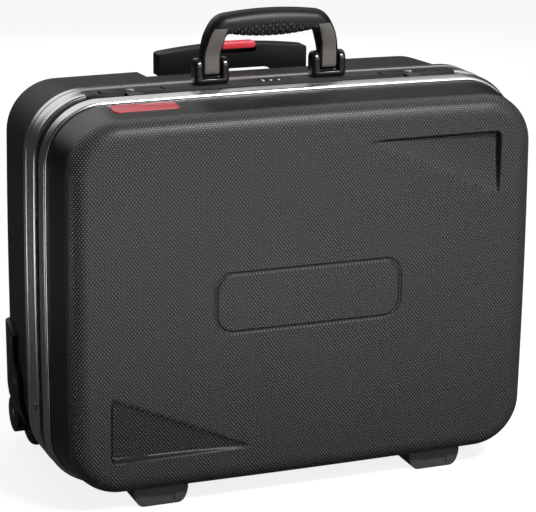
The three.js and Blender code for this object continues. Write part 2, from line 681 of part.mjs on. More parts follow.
// Carry handle's front outline: two legs and a crowned grip
function handleOutline() {
  const outer = BRACKET_OFFSET_X + LEG_WIDTH / 2;
  const inner = BRACKET_OFFSET_X - LEG_WIDTH / 2;
  const low = -LEG_DEPTH / 2;
  const ear = BRACKET_RISE + BRACKET_DEPTH / 2 + 0.5;
  const part = (share) => share * LEG_WIDTH;
  const shoulder = GRIP_CORNER_Z + part(0.07);
  const x = (value) => HANDLE_CENTRE_X + value;
  const z = (value) => PIVOT_Z + value;
  const shape = new THREE.Shape();
  shape.moveTo(x(-outer), z(low));
  shape.lineTo(x(-outer), z(ear));
  shape.bezierCurveTo(
    x(-outer + part(0.1)), z(GRIP_CORNER_Z * 0.6), x(-GRIP_CORNER_X - part(0.4)), z(GRIP_CORNER_Z),
    x(-GRIP_CORNER_X + part(0.4)), z(shoulder));
  shape.quadraticCurveTo(x(0), z(2 * GRIP_CROWN - shoulder), x(GRIP_CORNER_X - part(0.4)), z(shoulder));
  shape.bezierCurveTo(
    x(GRIP_CORNER_X + part(0.4)), z(GRIP_CORNER_Z), x(outer - part(0.1)), z(GRIP_CORNER_Z * 0.6),
    x(outer), z(ear));
  shape.lineTo(x(outer), z(low));
  shape.lineTo(x(inner), z(low));
  shape.lineTo(x(inner), z(ear));
  const [neck, rise, sag] = [GRIP_UNDER - part(0.3), GRIP_UNDER + part(0.2), GRIP_UNDER + part(0.17)];
  shape.quadraticCurveTo(x(inner - part(0.07)), z(neck), x(inner - part(0.2)), z(GRIP_UNDER));
  shape.quadraticCurveTo(x(inner - part(0.27)), z(rise), x(inner - part(0.5)), z(sag));
  shape.quadraticCurveTo(x(0), z(2 * GRIP_UNDER - sag), x(-inner + part(0.5)), z(sag));
  shape.quadraticCurveTo(x(-inner + part(0.27)), z(rise), x(-inner + part(0.2)), z(GRIP_UNDER));
  shape.quadraticCurveTo(x(-inner + part(0.07)), z(neck), x(-inner), z(ear));
  shape.lineTo(x(-inner), z(low));
  return shape;
}

// Carry handle's side outline: slim round-ended legs under a deep grip
function handleSide() {
  const leg = LEG_DEPTH / 2;
  const grip = GRIP_DEPTH / 2;
  const y = Y(PIVOT_D);
  const z = (value) => PIVOT_Z + value;
  const ear = BRACKET_RISE + BRACKET_DEPTH / 2 + 0.5;
  const part = (share) => share * GRIP_DEPTH;
  const [neck, chin, belly] = [GRIP_UNDER - part(0.23), GRIP_UNDER + part(0.04), GRIP_UNDER + part(0.38)];
  const [brow, top] = [GRIP_CROWN - part(0.38), GRIP_CROWN + 1];
  const shape = new THREE.Shape();
  shape.moveTo(y - leg, z(0));
  shape.absarc(y, z(0), leg, Math.PI, 2 * Math.PI, false);
  shape.lineTo(y + leg, z(ear));
  shape.quadraticCurveTo(y + leg + part(0.04), z(neck), y + grip - part(0.08), z(chin));
  shape.quadraticCurveTo(y + grip + part(0.04), z(belly), y + grip - part(0.08), z(brow));
  shape.quadraticCurveTo(y + grip - part(0.15), z(top), y, z(top));
  shape.quadraticCurveTo(y - grip + part(0.15), z(top), y - grip + part(0.08), z(brow));
  shape.quadraticCurveTo(y - grip - part(0.04), z(belly), y - grip + part(0.08), z(chin));
  shape.quadraticCurveTo(y - leg - part(0.04), z(neck), y - leg, z(ear));
  return shape;
}

// Side outline drawn out past both legs, and the handle before the inlays are let in
function handleSideBlock() {
  const reach = BRACKET_OFFSET_X + LEG_WIDTH;
  return drawnAlongX(handleSide(), HANDLE_CENTRE_X - reach, HANDLE_CENTRE_X + reach, 6);
}

function handleBlank() {
  const y = Y(PIVOT_D);
  return drawnAlongY(handleOutline(), y - GRIP_DEPTH / 2, y + GRIP_DEPTH / 2, 0, 8)
    .intersect(handleSideBlock());
}

// Column in front of one leg that the inlay fills; side is 1 or -1
function inlayColumn(side, grow) {
  const half = INLAY_HALF_WIDTH + grow;
  const [low, high] = [-LEG_DEPTH / 2 + 3 - grow, INLAY_TOP + grow];
  const lean = (value) => HANDLE_CENTRE_X + side * (BRACKET_OFFSET_X - Math.max(0, value - 12) * 0.2);
  const shape = new THREE.Shape();
  shape.moveTo(lean(low) - half, PIVOT_Z + low);
  shape.lineTo(lean(low) + half, PIVOT_Z + low);
  shape.lineTo(lean(12) + half, PIVOT_Z + 12);
  shape.lineTo(lean(high) + half, PIVOT_Z + high);
  shape.lineTo(lean(high) - half, PIVOT_Z + high);
  shape.lineTo(lean(12) - half, PIVOT_Z + 12);
  return drawnAlongY(shape, Y(PIVOT_D) - GRIP_DEPTH, Y(PIVOT_D));
}

// Part of that column down to a depth below the handle's front
function inlayPocket(side, grow, depth) {
  return inlayColumn(side, grow).subtract(handleSideBlock().translate([0, depth, 0]));
}

function makeInlay(side, blank) {
  return blank.intersect(inlayPocket(side, 0, INLAY_THICK));
}

function makeCarryHandle(blank) {
  let handle = blank;
  [-1, 1].forEach((side) => {
    const x = HANDLE_CENTRE_X + side * BRACKET_OFFSET_X;
    handle = handle.subtract(inlayPocket(side, GAP, INLAY_THICK + GAP));
    handle = handle.subtract(rodX(PIVOT_PIN_R + PIN_GAP, x - LEG_WIDTH, x + LEG_WIDTH, Y(PIVOT_D), PIVOT_Z));
  });
  return handle;
}

// Recess in the base's top for the pull handle, open to the back
function notchBlock(grow) {
  const half = NOTCH_HALF_WIDTH + grow;
  const floor = NOTCH_FLOOR_Z - grow;
  const round = 12;
  const shape = new THREE.Shape();
  shape.moveTo(-half - round, TOP_Z + 10);
  shape.lineTo(-half, floor + round);
  shape.quadraticCurveTo(-half + 1, floor, -half + round, floor);
  shape.lineTo(half - round, floor);
  shape.quadraticCurveTo(half - 1, floor, half, floor + round);
  shape.lineTo(half + round, TOP_Z + 10);
  return drawnAlongY(shape, Y(NOTCH_START_D - grow), Y(BASE_DEPTH + 5), 0, 5);
}

// Tube with a rounded rectangular section, standing upright
function tube(x, width, depth, z0, z1) {
  const section = roundedRectangle(x, Y(PULL_D), width, depth, 3);
  section.holes.push(roundedRectangle(
    x, Y(PULL_D), width - 2 * TUBE_WALL, depth - 2 * TUBE_WALL, 3 - TUBE_WALL));
  return drawnAlongZ(section, z0, z1, 2);
}

const solidTube = (x, width, depth, z0, z1) =>
  drawnAlongZ(roundedRectangle(x, Y(PULL_D), width, depth, 3), z0, z1, 2);

// Each inner stage is narrower than the one round it by two walls and two gaps
const stageShrink = (stage) => stage * 2 * (TUBE_WALL + GAP);
const stageTop = (stage) => NOTCH_FLOOR_Z + BEZEL_THICK + stage * 2;
const stageBottom = (stage) => TUBE_BOTTOM_Z + COVER_WALL + GAP + stage * 12;

// Rear shell: notch with its own floor, holes for the tubes, windows for the wheel housings
function makeRearShell() {
  const outer = levelled(baseLevels(0));
  let shell = hollowShell(baseLevels);
  shell = shell.add(notchBlock(SHELL_WALL).intersect(outer)).subtract(notchBlock(0));
  [-1, 1].forEach((side) => {
    const x = side * TUBE_X;
    shell = shell.subtract(solidTube(
      x, TUBE_WIDTH + 2 * GAP, TUBE_DEPTH + 2 * GAP, NOTCH_FLOOR_Z - 3 * SHELL_WALL, NOTCH_FLOOR_Z + 1));
    shell = shell.subtract(wellCylinder(side, HOUSING_WALL + GAP, WIDTH));
    screwPlaces().forEach(([d, z]) => {
      const [a, b] = [side * (WIDTH / 2 - 30), side * WIDTH / 2];
      shell = shell.subtract(rodX(SCREW_R + GAP, Math.min(a, b), Math.max(a, b), Y(d), z, 16));
    });
  });
  return shell;
}

// Cylinder about the wheel's axle that reaches from the well's inner side outward
function wellCylinder(side, grow, outerX) {
  const [a, b] = [side * (WELL_X[0] - grow), side * outerX];
  return rodX(WELL_R + grow, Math.min(a, b), Math.max(a, b), Y(AXLE_D), WHEEL_R, 32);
}

// Side screws of a wheel housing, as depth and height
const screwPlaces = () => [[0.378, 0.892], [0.528, 0.587]].map(([forward, up]) => [
  AXLE_D - forward * HOUSING_REACH, FLOOR_GAP + up * HOUSING_HEIGHT]);

// Disc about the wheel's axle, from x0 to x1 on one side
function discX(side, radius, x0, x1) {
  const [a, b] = [side * x0, side * x1];
  return rodX(radius, Math.min(a, b), Math.max(a, b), Y(AXLE_D), WHEEL_R, 32);
}

// Wheel housing: a plate that wraps the shell's lower rear corner, with a well for the wheel
// and a round cheek that carries the axle's outer end
function makeWheelHousing(side) {
  const wrap = levelled(baseLevels(-HOUSING_PROUD));
  const shell = levelled(baseLevels(-GAP));
  const corners = [
    [0.2, 1.02], [0.6, 0.96], [0.5, 0.9], [0.54, 0.74], [0.84, 0.665], [0.86, 0.585], [0.94, 0.475],
    [1.1, 0.325], [1.14, -0.06], [-1, -0.06], [-1, 0.96],
  ];
  const plate = new THREE.Shape(corners.map(([forward, up]) => new THREE.Vector2(
    Y(AXLE_D - forward * HOUSING_REACH), FLOOR_GAP + up * HOUSING_HEIGHT)));
  const inner = WELL_X[0] - HOUSING_WALL;
  const [a, b] = [side * inner, side * WIDTH / 2];
  const plating = wrap.subtract(shell).intersect(drawnAlongX(plate, Math.min(a, b), Math.max(a, b)));
  const well = wrap.intersect(wellCylinder(side, HOUSING_WALL, WIDTH / 2));
  const [c, e] = [side * WELL_X[0], side * WELL_X[1]];
  const cheekX = WIDTH / 2 - CHEEK_FROM_SIDE;
  let housing = plating.add(well)
    .subtract(discX(side, CHEEK_ROOM_R, cheekX, WIDTH / 2))
    .add(discX(side, CHEEK_R, WELL_X[1], cheekX))
    .subtract(rodX(WELL_R, Math.min(c, e), Math.max(c, e), Y(AXLE_D), WHEEL_R, 32))
    .subtract(axleRod(side, PIN_GAP, 0.4));
  screwPlaces().forEach(([d, height]) => {
    housing = housing.subtract(screwBar(side, d, height, SCREW_R + GAP, 8, -14));
    housing = housing.subtract(screwBar(side, d, height, SCREW_HEAD_R + GAP, 8, -GAP));
  });
  return housing;
}

// Bar along a side screw, from above its seat to below it; the seat takes the head's underside
function screwBar(side, d, height, radius, above, below) {
  const seat = WIDTH / 2 - BASE_SIDE_INSET - SIDE_BOW + HOUSING_PROUD - SCREW_HEAD_THICK + 1.1;
  const [a, b] = [side * (seat + above), side * (seat + below)];
  return rodX(radius, Math.min(a, b), Math.max(a, b), Y(d), height, 20);
}

// Screw with a round head and a cross slot
function makeHousingScrew(side, d, height) {
  return screwBar(side, d, height, SCREW_HEAD_R, SCREW_HEAD_THICK, 0)
    .add(screwBar(side, d, height, SCREW_R, 1, -12));
}

function axleRod(side, grow, longer) {
  const outer = WIDTH / 2 - CHEEK_FROM_SIDE + 0.5 + longer;
  return discX(side, AXLE_R + grow, WELL_X[0] - HOUSING_WALL + 0.5 - longer - grow, outer);
}

// Solid of revolution about the axle from [radius, offset] corners
function turned(side, profile, sides) {
  const points = profile.map(([radius, offset]) => new THREE.Vector2(radius, offset));
  const geometry = new THREE.LatheGeometry([...points, points[0]], sides);
  geometry.rotateZ(Math.PI / 2);
  geometry.translate(side * WHEEL_CENTRE_X, Y(AXLE_D), WHEEL_R);
  const position = geometry.attributes.position;
  return turnedOutward([...position.array], [...geometry.index.array]);
}

function makeTyre(side) {
  const half = TYRE_WIDTH / 2;
  const bore = HUB_R + GAP;
  return turned(side, [
    [bore, -half], [WHEEL_R - 3, -half], [WHEEL_R - 0.6, -half + 2], [WHEEL_R, -half + 5],
    [WHEEL_R, half - 5], [WHEEL_R - 0.6, half - 2], [WHEEL_R - 3, half], [bore, half],
  ], 32);
}

function makeHub(side) {
  const half = TYRE_WIDTH / 2 - 1;
  const bore = AXLE_R + PIN_GAP;
  return turned(side, [
    [bore, -half], [9, -half], [9, -half + 4], [HUB_R - 3, -half + 4], [HUB_R - 3, -half], [HUB_R, -half],
    [HUB_R, half], [HUB_R - 3, half], [HUB_R - 3, half - 4], [9, half - 4], [9, half], [bore, half],
  ], 20);
}

// Pull handle: crowned bar with two legs round a finger arch, sockets and button pocket
function makePullGrip() {
  const z = (value) => TOP_Z + value;
  const low = stageTop(2) + GAP - TOP_Z;
  const half = PULL_HALF_WIDTH;
  const shape = new THREE.Shape();
  shape.moveTo(-half, z(low));
  shape.lineTo(-half, z(PULL_END_Z - 3));
  shape.quadraticCurveTo(-half, z(PULL_END_Z), -half + 4, z(PULL_END_Z + 0.4));
  shape.quadraticCurveTo(0, z(2 * PULL_CROWN_Z - PULL_END_Z), half - 4, z(PULL_END_Z + 0.4));
  shape.quadraticCurveTo(half, z(PULL_END_Z), half, z(PULL_END_Z - 3));
  shape.lineTo(half, z(low));
  shape.lineTo(FINGER_HALF_WIDTH, z(low));
  shape.quadraticCurveTo(FINGER_HALF_WIDTH - 2, z(PULL_ARCH_Z), FINGER_HALF_WIDTH - 12, z(PULL_ARCH_Z));
  shape.lineTo(-FINGER_HALF_WIDTH + 12, z(PULL_ARCH_Z));
  shape.quadraticCurveTo(-FINGER_HALF_WIDTH + 2, z(PULL_ARCH_Z), -FINGER_HALF_WIDTH, z(low));
  const middle = Y(PULL_D);
  let grip = drawnAlongY(shape, middle - PULL_THICK / 2, middle + PULL_THICK / 2, 2.2, 6);
  const shrink = stageShrink(2);
  [-1, 1].forEach((side) => {
    grip = grip.subtract(solidTube(
      side * TUBE_X, TUBE_WIDTH - shrink + 2 * GAP, TUBE_DEPTH - shrink + 2 * GAP,
      stageTop(2) - 2, stageTop(2) + TUBE_SOCKET + GAP));
  });
  const pocketFloor = buttonTop() - BUTTON_HEIGHT - BUTTON_TRAVEL - GAP;
  return grip.subtract(buttonBlock(GAP, pocketFloor, TOP_Z + 60, PULL_THICK / 2));
}

const buttonTop = () => TOP_Z + PULL_CROWN_Z + BUTTON_PROUD;

// Block of the release button: reaches out of the grip's front, with rounded ends
function buttonBlock(grow, z0, z1, proud) {
  const front = Y(PULL_D) - PULL_THICK / 2;
  const outline = roundedRectangle(
    0, (z0 + z1) / 2, 2 * (BUTTON_HALF_LENGTH + grow), z1 - z0, BUTTON_ROUND + grow);
  return drawnAlongY(outline, front - proud, front + BUTTON_DEPTH + grow, 0, 5);
}

// Bezel on the notch's floor round both outer tubes
function makeBezel() {
  const width = 2 * (TUBE_X + TUBE_WIDTH / 2 + 6);
  let bezel = drawnAlongZ(roundedRectangle(0, Y(PULL_D), width, TUBE_DEPTH + 7, 6),
    NOTCH_FLOOR_Z + GAP, NOTCH_FLOOR_Z + BEZEL_THICK, 3);
  [-1, 1].forEach((side) => {
    bezel = bezel.subtract(solidTube(
      side * TUBE_X, TUBE_WIDTH + 2 * GAP, TUBE_DEPTH + 2 * GAP, NOTCH_FLOOR_Z - 1, NOTCH_FLOOR_Z + 6));
  });
  return bezel;
}

// Inner cover: front plate, sides and foot plate round the outer tubes, on the shell's back wall
function makeTelescopeCover() {
  const front = Y(PULL_D) - TUBE_DEPTH / 2 - GAP - COVER_WALL;
  const rear = Y(BASE_DEPTH - SHELL_WALL) - GAP;
  const top = NOTCH_FLOOR_Z - SHELL_WALL - GAP;
  const half = COVER_HALF_WIDTH;
  return box(-half, half, front, rear, TUBE_BOTTOM_Z, top)
    .subtract(box(
      -half + COVER_WALL, half - COVER_WALL, front + COVER_WALL, rear + 1, TUBE_BOTTOM_Z + COVER_WALL, top + 1))
    .intersect(levelled(baseLevels(SHELL_WALL + GAP)));
}

// Foot under the lid: tapered block with a shallow panel, its top following the shell
function makeFoot(side) {
  const top = FLOOR_GAP + SHELL_STEP + LID_DRAFT + 6;
  const [wide, narrow] = [FOOT_TOP_WIDTH / 2, FOOT_BOTTOM_WIDTH / 2];
  const x = side * FOOT_OFFSET_X;
  const shape = new THREE.Shape();
  shape.moveTo(x - narrow, 0);
  shape.quadraticCurveTo(x - narrow - 7.5, 0.5, x - wide + 2, top - 8);
  shape.quadraticCurveTo(x - wide, top - 4, x - wide, top);
  shape.lineTo(x + wide, top);
  shape.quadraticCurveTo(x + wide, top - 4, x + wide - 2, top - 8);
  shape.quadraticCurveTo(x + narrow + 7.5, 0.5, x + narrow, 0);
  const front = Y(FOOT_FROM_FACE - LID_DEPTH);
  return drawnAlongY(shape, front, front + FOOT_DEPTH, 0, 5)
    .subtract(box(x - narrow + 3, x + narrow - 3, front - 1, front + 1.2, 3.5, FLOOR_GAP + 3))
    .subtract(levelled(lidLevels(-GAP)));
}

// Hinge leaf under a band with knuckles on the hinge line; spans lists the knuckles
function makeLeaf(x, d0, d1, fingerEnd, spans) {
  const half = HINGE_LENGTH / 2;
  const low = HINGE_Z - HINGE_LEAF_THICK / 2 + 0.7;
  let leaf = box(x - half, x + half, Y(d0), Y(d1), low, FLOOR_GAP + SIDE_BOW);
  spans.forEach(([a, b]) => {
    leaf = leaf.add(box(
      x + a, x + b, Math.min(Y(0), Y(fingerEnd)), Math.max(Y(0), Y(fingerEnd)), low, low + HINGE_LEAF_THICK));
    leaf = leaf.add(rodX(KNUCKLE_R, x + a, x + b, Y(0), HINGE_Z, 20));
  });
  leaf = leaf.subtract(outlineBlock(-GAP, LID_BAND_D - 5, BASE_BAND_END_D + 5));
  return leaf.subtract(rodX(HINGE_PIN_R + PIN_GAP, x - half - 1, x + half + 1, Y(0), HINGE_Z, 16));
}

const hingeThird = HINGE_LENGTH / 6;
const makeBaseLeaf = (x) => makeLeaf(
  x, BASE_BAND_D, BASE_BAND_D + HINGE_LEAF_DEPTH, BASE_BAND_D + 1,
  [[-3 * hingeThird, -hingeThird - GAP], [hingeThird + GAP, 3 * hingeThird]]);
const makeLidLeaf = (x) => makeLeaf(
  x, LID_BAND_D + 1, -BAND_OFFSET - 0.5, -BAND_OFFSET - 1, [[-hingeThird, hingeThird]]);
const makeHingePin = (x) => rodX(
  HINGE_PIN_R, x - HINGE_LENGTH / 2, x + HINGE_LENGTH / 2, Y(0), HINGE_Z, 16);

// Length of each stay link: stretched when the lid is fully open
const stayReach = () => {
  const rise = STAY_PIVOT_Z - HINGE_Z;
  const lean = Math.atan2(STAY_PIVOT_D, rise);
  const radius = Math.hypot(STAY_PIVOT_D, rise);
  return radius * Math.sin(lean + THREE.MathUtils.degToRad(LID_OPEN_DEG / 2));
};

// Stay link from its pivot on a frame up to the elbow on the parting plane; half is 1 or -1
function makeStayLink(half, x0, x1) {
  const reach = stayReach();
  const rise = Math.sqrt(reach ** 2 - STAY_PIVOT_D ** 2);
  const bar = new THREE.Shape();
  const radius = STAY_WIDTH / 2;
  bar.moveTo(0, -radius);
  bar.lineTo(reach, -radius);
  bar.absarc(reach, 0, radius, -Math.PI / 2, Math.PI / 2);
  bar.lineTo(0, radius);
  bar.absarc(0, 0, radius, Math.PI / 2, 1.5 * Math.PI);
  const geometry = new THREE.ExtrudeGeometry(bar, { depth: x1 - x0, bevelEnabled: false, curveSegments: 8 });
  geometry.rotateY(Math.PI / 2);
  geometry.rotateX(Math.atan2(-half * STAY_PIVOT_D, -rise));
  geometry.translate(x0, Y(half * STAY_PIVOT_D), STAY_PIVOT_Z);
  return solid(geometry);
}

// Bar along X on one side of the case, between two distances from the middle
const sideRod = (side, radius, near, far, d, z, edges = 20) =>
  rodX(radius, Math.min(side * near, side * far), Math.max(side * near, side * far), Y(d), z, edges);

// Base link: next to the frame, turning on the rivet
function makeBaseLink(side) {
  const far = frameInnerX - STAY_GAP;
  const near = far - STAY_THICK;
  return makeStayLink(1, Math.min(side * near, side * far), Math.max(side * near, side * far))
    .subtract(sideRod(side, STAY_RIVET_R + PIN_GAP, near - 1, far + 1, STAY_PIVOT_D, STAY_PIVOT_Z));
}

// Lid link: inside the base link, with a stub that turns in the lid frame's flange
function makeLidLink(side) {
  const far = frameInnerX - STAY_GAP - GAP - STAY_THICK;
  const near = far - STAY_THICK;
  return makeStayLink(-1, Math.min(side * near, side * far), Math.max(side * near, side * far))
    .add(sideRod(side, STAY_RIVET_R, near + 1, frameInnerX + FRAME_WALL - GAP, -STAY_PIVOT_D, STAY_PIVOT_Z));
}

// Rivet through the base frame, with a head outside and one inside the base link
function makeStayRivet(side) {
  const inner = frameInnerX - STAY_GAP - STAY_THICK - PIN_GAP;
  return sideRod(side, STAY_RIVET_R, inner, WIDTH / 2, STAY_PIVOT_D, STAY_PIVOT_Z)
    .add(sideRod(side, STAY_RIVET_R + 1.5, WIDTH / 2 - 0.2, WIDTH / 2 + 1, STAY_PIVOT_D, STAY_PIVOT_Z));
}

// Build the base half
const strips = [-1, 1].map((side) => STRIP_CENTRE_X + side * LATCH_OFFSET_X);
const sideNames = ['left', 'right'];
const sides = [-1, 1];

addPiece('rear_shell', makeRearShell(), shellBlack);
addPiece('rear_frame', makeBaseFrame(), brightAluminium);
addPiece('rear_seal', makeSeal(PIN_GAP, BASE_BAND_D - GAP), sealBlack);
addPiece('lock_strip', makeLockStrip(), lockGrey);
addPiece('dial_panel', makeDialPanel(), lockGrey);
addPiece('dial_shaft', rodX(
  DIAL_SHAFT_R, DIAL_CENTRE_X - DIAL_COUNT * DIAL_PITCH / 2 - 2.2,
  DIAL_CENTRE_X + DIAL_COUNT * DIAL_PITCH / 2 + 2.2, Y(dialD()), dialZ(), 16), steel);
for (let i = 0; i < DIAL_COUNT; i += 1) {
  addPiece(`number_wheel_${i + 1}`, makeDial(i), satinBlack);
}
const blank = handleBlank();
addPiece('carry_handle', makeCarryHandle(blank), satinBlack);
sides.forEach((side, i) => {
  const name = sideNames[i];
  const x = HANDLE_CENTRE_X + side * BRACKET_OFFSET_X;
  addPiece(`latch_${name}`, makeLatch(strips[i]), lockGrey);
  addPiece(`key_cylinder_${name}`, makeKeyCylinder(strips[i]), steel);
  addPiece(`handle_bracket_${name}`, makeBracket(x), satinBlack);
  addPiece(`handle_pin_${name}`, makePivotPin(x), steel);
  addPiece(`handle_inlay_${name}`, makeInlay(side, blank), inlayGrey);
  addPiece(`wheel_housing_${name}`, makeWheelHousing(side), satinBlack);
  addPiece(`wheel_axle_${name}`, axleRod(side, 0, 0), steel);
  addPiece(`wheel_tyre_${name}`, makeTyre(side), tyreBlack);
  addPiece(`wheel_hub_${name}`, makeHub(side), hubGrey);
  screwPlaces().forEach(([d, z], k) => {
    addPiece(`housing_screw_${name}_${k + 1}`, makeHousingScrew(side, d, z), steel);
  });
});

// Build the telescopic pull handle
addPiece('telescope_bezel', makeBezel(), satinBlack);
addPiece('telescope_cover', makeTelescopeCover(), satinBlack);
sides.forEach((side, i) => {
  ['outer', 'middle', 'inner'].forEach((stageName, stage) => {
    const shrink = stageShrink(stage);
    const top = stage === 2 ? stageTop(2) + TUBE_SOCKET : stageTop(stage);
    addPiece(`${stageName}_tube_${sideNames[i]}`,
      tube(side * TUBE_X, TUBE_WIDTH - shrink, TUBE_DEPTH - shrink, stageBottom(stage), top), tubeAluminium);
  });
});
addPiece('pull_grip', makePullGrip(), satinBlack);
addPiece(
  'release_button', buttonBlock(0, buttonTop() - BUTTON_HEIGHT, buttonTop(), BUTTON_FRONT_PROUD), signalRed);

// Build the lid half
addPiece('front_shell', makeFrontShell(), shellBlack);
addPiece('front_frame', makeLidFrame(), brightAluminium);
addPiece('front_seal', makeSeal(-BAND_OFFSET + GAP, -PIN_GAP), sealBlack);
addPiece('badge', badgeBlock(0, 0), signalRed);
sides.forEach((side, i) => {
  addPiece(`foot_${sideNames[i]}`, makeFoot(side), satinBlack);
  addPiece(`base_hinge_leaf_${sideNames[i]}`, makeBaseLeaf(side * HINGE_OFFSET_X), steel);
  addPiece(`lid_hinge_leaf_${sideNames[i]}`, makeLidLeaf(side * HINGE_OFFSET_X), steel);
  addPiece(`hinge_pin_${sideNames[i]}`, makeHingePin(side * HINGE_OFFSET_X), steel);
  addPiece(`base_stay_link_${sideNames[i]}`, makeBaseLink(side), steel);
  addPiece(`lid_stay_link_${sideNames[i]}`, makeLidLink(side), steel);
  addPiece(`stay_rivet_${sideNames[i]}`, makeStayRivet(side), steel);
});

export default toolCase;
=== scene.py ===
import json
import math

import bmesh
import bpy
import numpy as np
from mathutils import Matrix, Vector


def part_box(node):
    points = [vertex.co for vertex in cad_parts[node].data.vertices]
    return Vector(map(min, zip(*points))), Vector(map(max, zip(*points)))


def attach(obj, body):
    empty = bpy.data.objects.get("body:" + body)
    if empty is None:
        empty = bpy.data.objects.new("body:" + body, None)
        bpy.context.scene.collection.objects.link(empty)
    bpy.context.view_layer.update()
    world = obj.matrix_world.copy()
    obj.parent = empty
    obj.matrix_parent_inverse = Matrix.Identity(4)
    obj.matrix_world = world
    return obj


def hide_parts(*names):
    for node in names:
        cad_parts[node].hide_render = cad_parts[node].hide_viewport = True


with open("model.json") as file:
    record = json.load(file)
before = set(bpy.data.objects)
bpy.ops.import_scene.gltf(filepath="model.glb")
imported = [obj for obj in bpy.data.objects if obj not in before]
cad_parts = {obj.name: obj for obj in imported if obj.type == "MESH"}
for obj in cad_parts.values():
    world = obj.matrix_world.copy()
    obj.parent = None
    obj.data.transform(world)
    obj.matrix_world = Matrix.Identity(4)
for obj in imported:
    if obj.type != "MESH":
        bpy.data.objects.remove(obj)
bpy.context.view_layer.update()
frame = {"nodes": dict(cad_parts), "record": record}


# Camera and studio: the case stands at an angle on a pale floor, seen from its front left
# and a little above. The angles, distance and focal length were worked out from the frame
# lines and corner circles of the case in the photograph.
yaw, pitch, roll = 0.3769, 0.2779, 0.011
back = np.array([-math.sin(yaw) * math.cos(pitch), -math.cos(yaw) * math.cos(pitch), math.sin(pitch)])
level_right = np.array([math.cos(yaw), -math.sin(yaw), 0.0])
level_up = np.cross(back, level_right)
camera_right = level_right * math.cos(roll) + level_up * math.sin(roll)
camera_up = level_up * math.cos(roll) - level_right * math.sin(roll)
camera_place = back * 2.07582 - camera_right * 0.02252 - camera_up * 0.44473 + np.array([0, -0.0655, 0.69184])

camera = bpy.data.objects.new("camera", bpy.data.cameras.new("camera"))
bpy.context.scene.collection.objects.link(camera)
camera.matrix_world = Matrix([
    [*row, place] for row, place in zip(np.stack([camera_right, camera_up, back], 1), camera_place)
] + [[0, 0, 0, 1]])
camera.data.sensor_width = 36
camera.data.lens = 146.73
camera.data.clip_end = 60
bpy.context.scene.camera = camera
bpy.context.scene.view_settings.view_transform = "Standard"


def linear(colour):
    """sRGB hex colour to linear RGBA: c/12.92 for dark values, ((c + 0.055) / 1.055) ** 2.4 above."""
    channels = [int(colour[i:i + 2], 16) / 255 for i in (1, 3, 5)]
    return [c / 12.92 if c <= 0.04045 else ((c + 0.055) / 1.055) ** 2.4 for c in channels] + [1.0]


def new_material(name, world=None):
    """An empty node tree of that name, on a new material or on the given world."""
    owner = world or bpy.data.materials.new(name)
    owner.use_nodes = True
    owner.node_tree.nodes.clear()
    return owner, owner.node_tree


def add_node(tree, kind, sockets=None, **settings):
    """Adds one node. Settings are its options; sockets are its inputs, by name or number, given as values
    or as other nodes' outputs."""
    made = tree.nodes.new("ShaderNode" + kind)
    for key, value in settings.items():
        setattr(made, key, value)
    for key, value in (sockets or {}).items():
        if isinstance(value, bpy.types.NodeSocket):
            tree.links.new(value, made.inputs[key])
        else:
            made.inputs[key].default_value = value
    return made


def ramp(tree, value, start, end, low=0.0, high=1.0):
    """Value eased from low at its start to high at its end."""
    return add_node(tree, "MapRange", {
        "Value": value, "From Min": start, "From Max": end, "To Min": low, "To Max": high},
        interpolation_type="SMOOTHSTEP").outputs[0]


def combine(tree, operation, first, *others):
    """One maths step over several values, from left to right."""
    for other in others:
        first = add_node(tree, "Math", {0: first, 1: other}, operation=operation).outputs[0]
    return first


# The world is a plain soft light. The camera sees it white. Gloss sees two lit walls in a dark studio:
# one behind the case whose lower edge rises to the right, and one in front of it on the right.
room, tree = new_material("", bpy.data.worlds.new("studio"))
bpy.context.scene.world = room
rays = add_node(tree, "LightPath")
seen = combine(tree, "MAXIMUM", rays.outputs["Is Camera Ray"], rays.outputs["Is Transmission Ray"])
towards = add_node(tree, "TexCoord")
towards = add_node(tree, "SeparateXYZ", {0: towards.outputs["Generated"]})
east, north, upward = towards.outputs
above_edge = combine(tree, "SUBTRACT", upward, ramp(tree, east, 0.05, 0.38, 0.16, 0.52))
rear_wall = combine(
    tree, "MULTIPLY", ramp(tree, above_edge, 0.0, 0.1), ramp(tree, upward, 0.97, 0.9),
    ramp(tree, north, -0.3, 0.25), ramp(tree, east, -0.6, -0.4), 1.4)
front_wall = combine(
    tree, "MULTIPLY", ramp(tree, north, -0.3, -0.6), ramp(tree, east, 0.0, 0.25), ramp(tree, east, 0.8, 0.6),
    ramp(tree, upward, 0.65, 0.4), 2.8)
mirrored = combine(tree, "MAXIMUM", rear_wall, front_wall, 0.04)
strength = add_node(tree, "Mix", {"Factor": rays.outputs["Is Glossy Ray"], "A": 0.35, "B": mirrored})
strength = add_node(tree, "Mix", {"Factor": seen, "A": strength.outputs[0], "B": 1.0})
light = add_node(tree, "Background", {"Color": linear("#ffffff"), "Strength": strength.outputs[0]})
add_node(tree, "OutputWorld", {0: light.outputs[0]})

# The floor is matt white paper. What the camera sees of it is lifted to white and keeps the case's
# shadow; gloss sees painted pools of light on it, at the left and in front, and dark elsewhere.
floor_mesh = bpy.data.meshes.new("floor")
floor_mesh.from_pydata([(-6, -6, 0), (6, -6, 0), (6, 6, 0), (-6, 6, 0)], [], [(0, 1, 2, 3)])
floor = bpy.data.objects.new("floor", floor_mesh)
bpy.context.scene.collection.objects.link(floor)
paper, tree = new_material("white_paper")
rays = add_node(tree, "LightPath")
place = add_node(tree, "TexCoord")
painted_light_pools = []
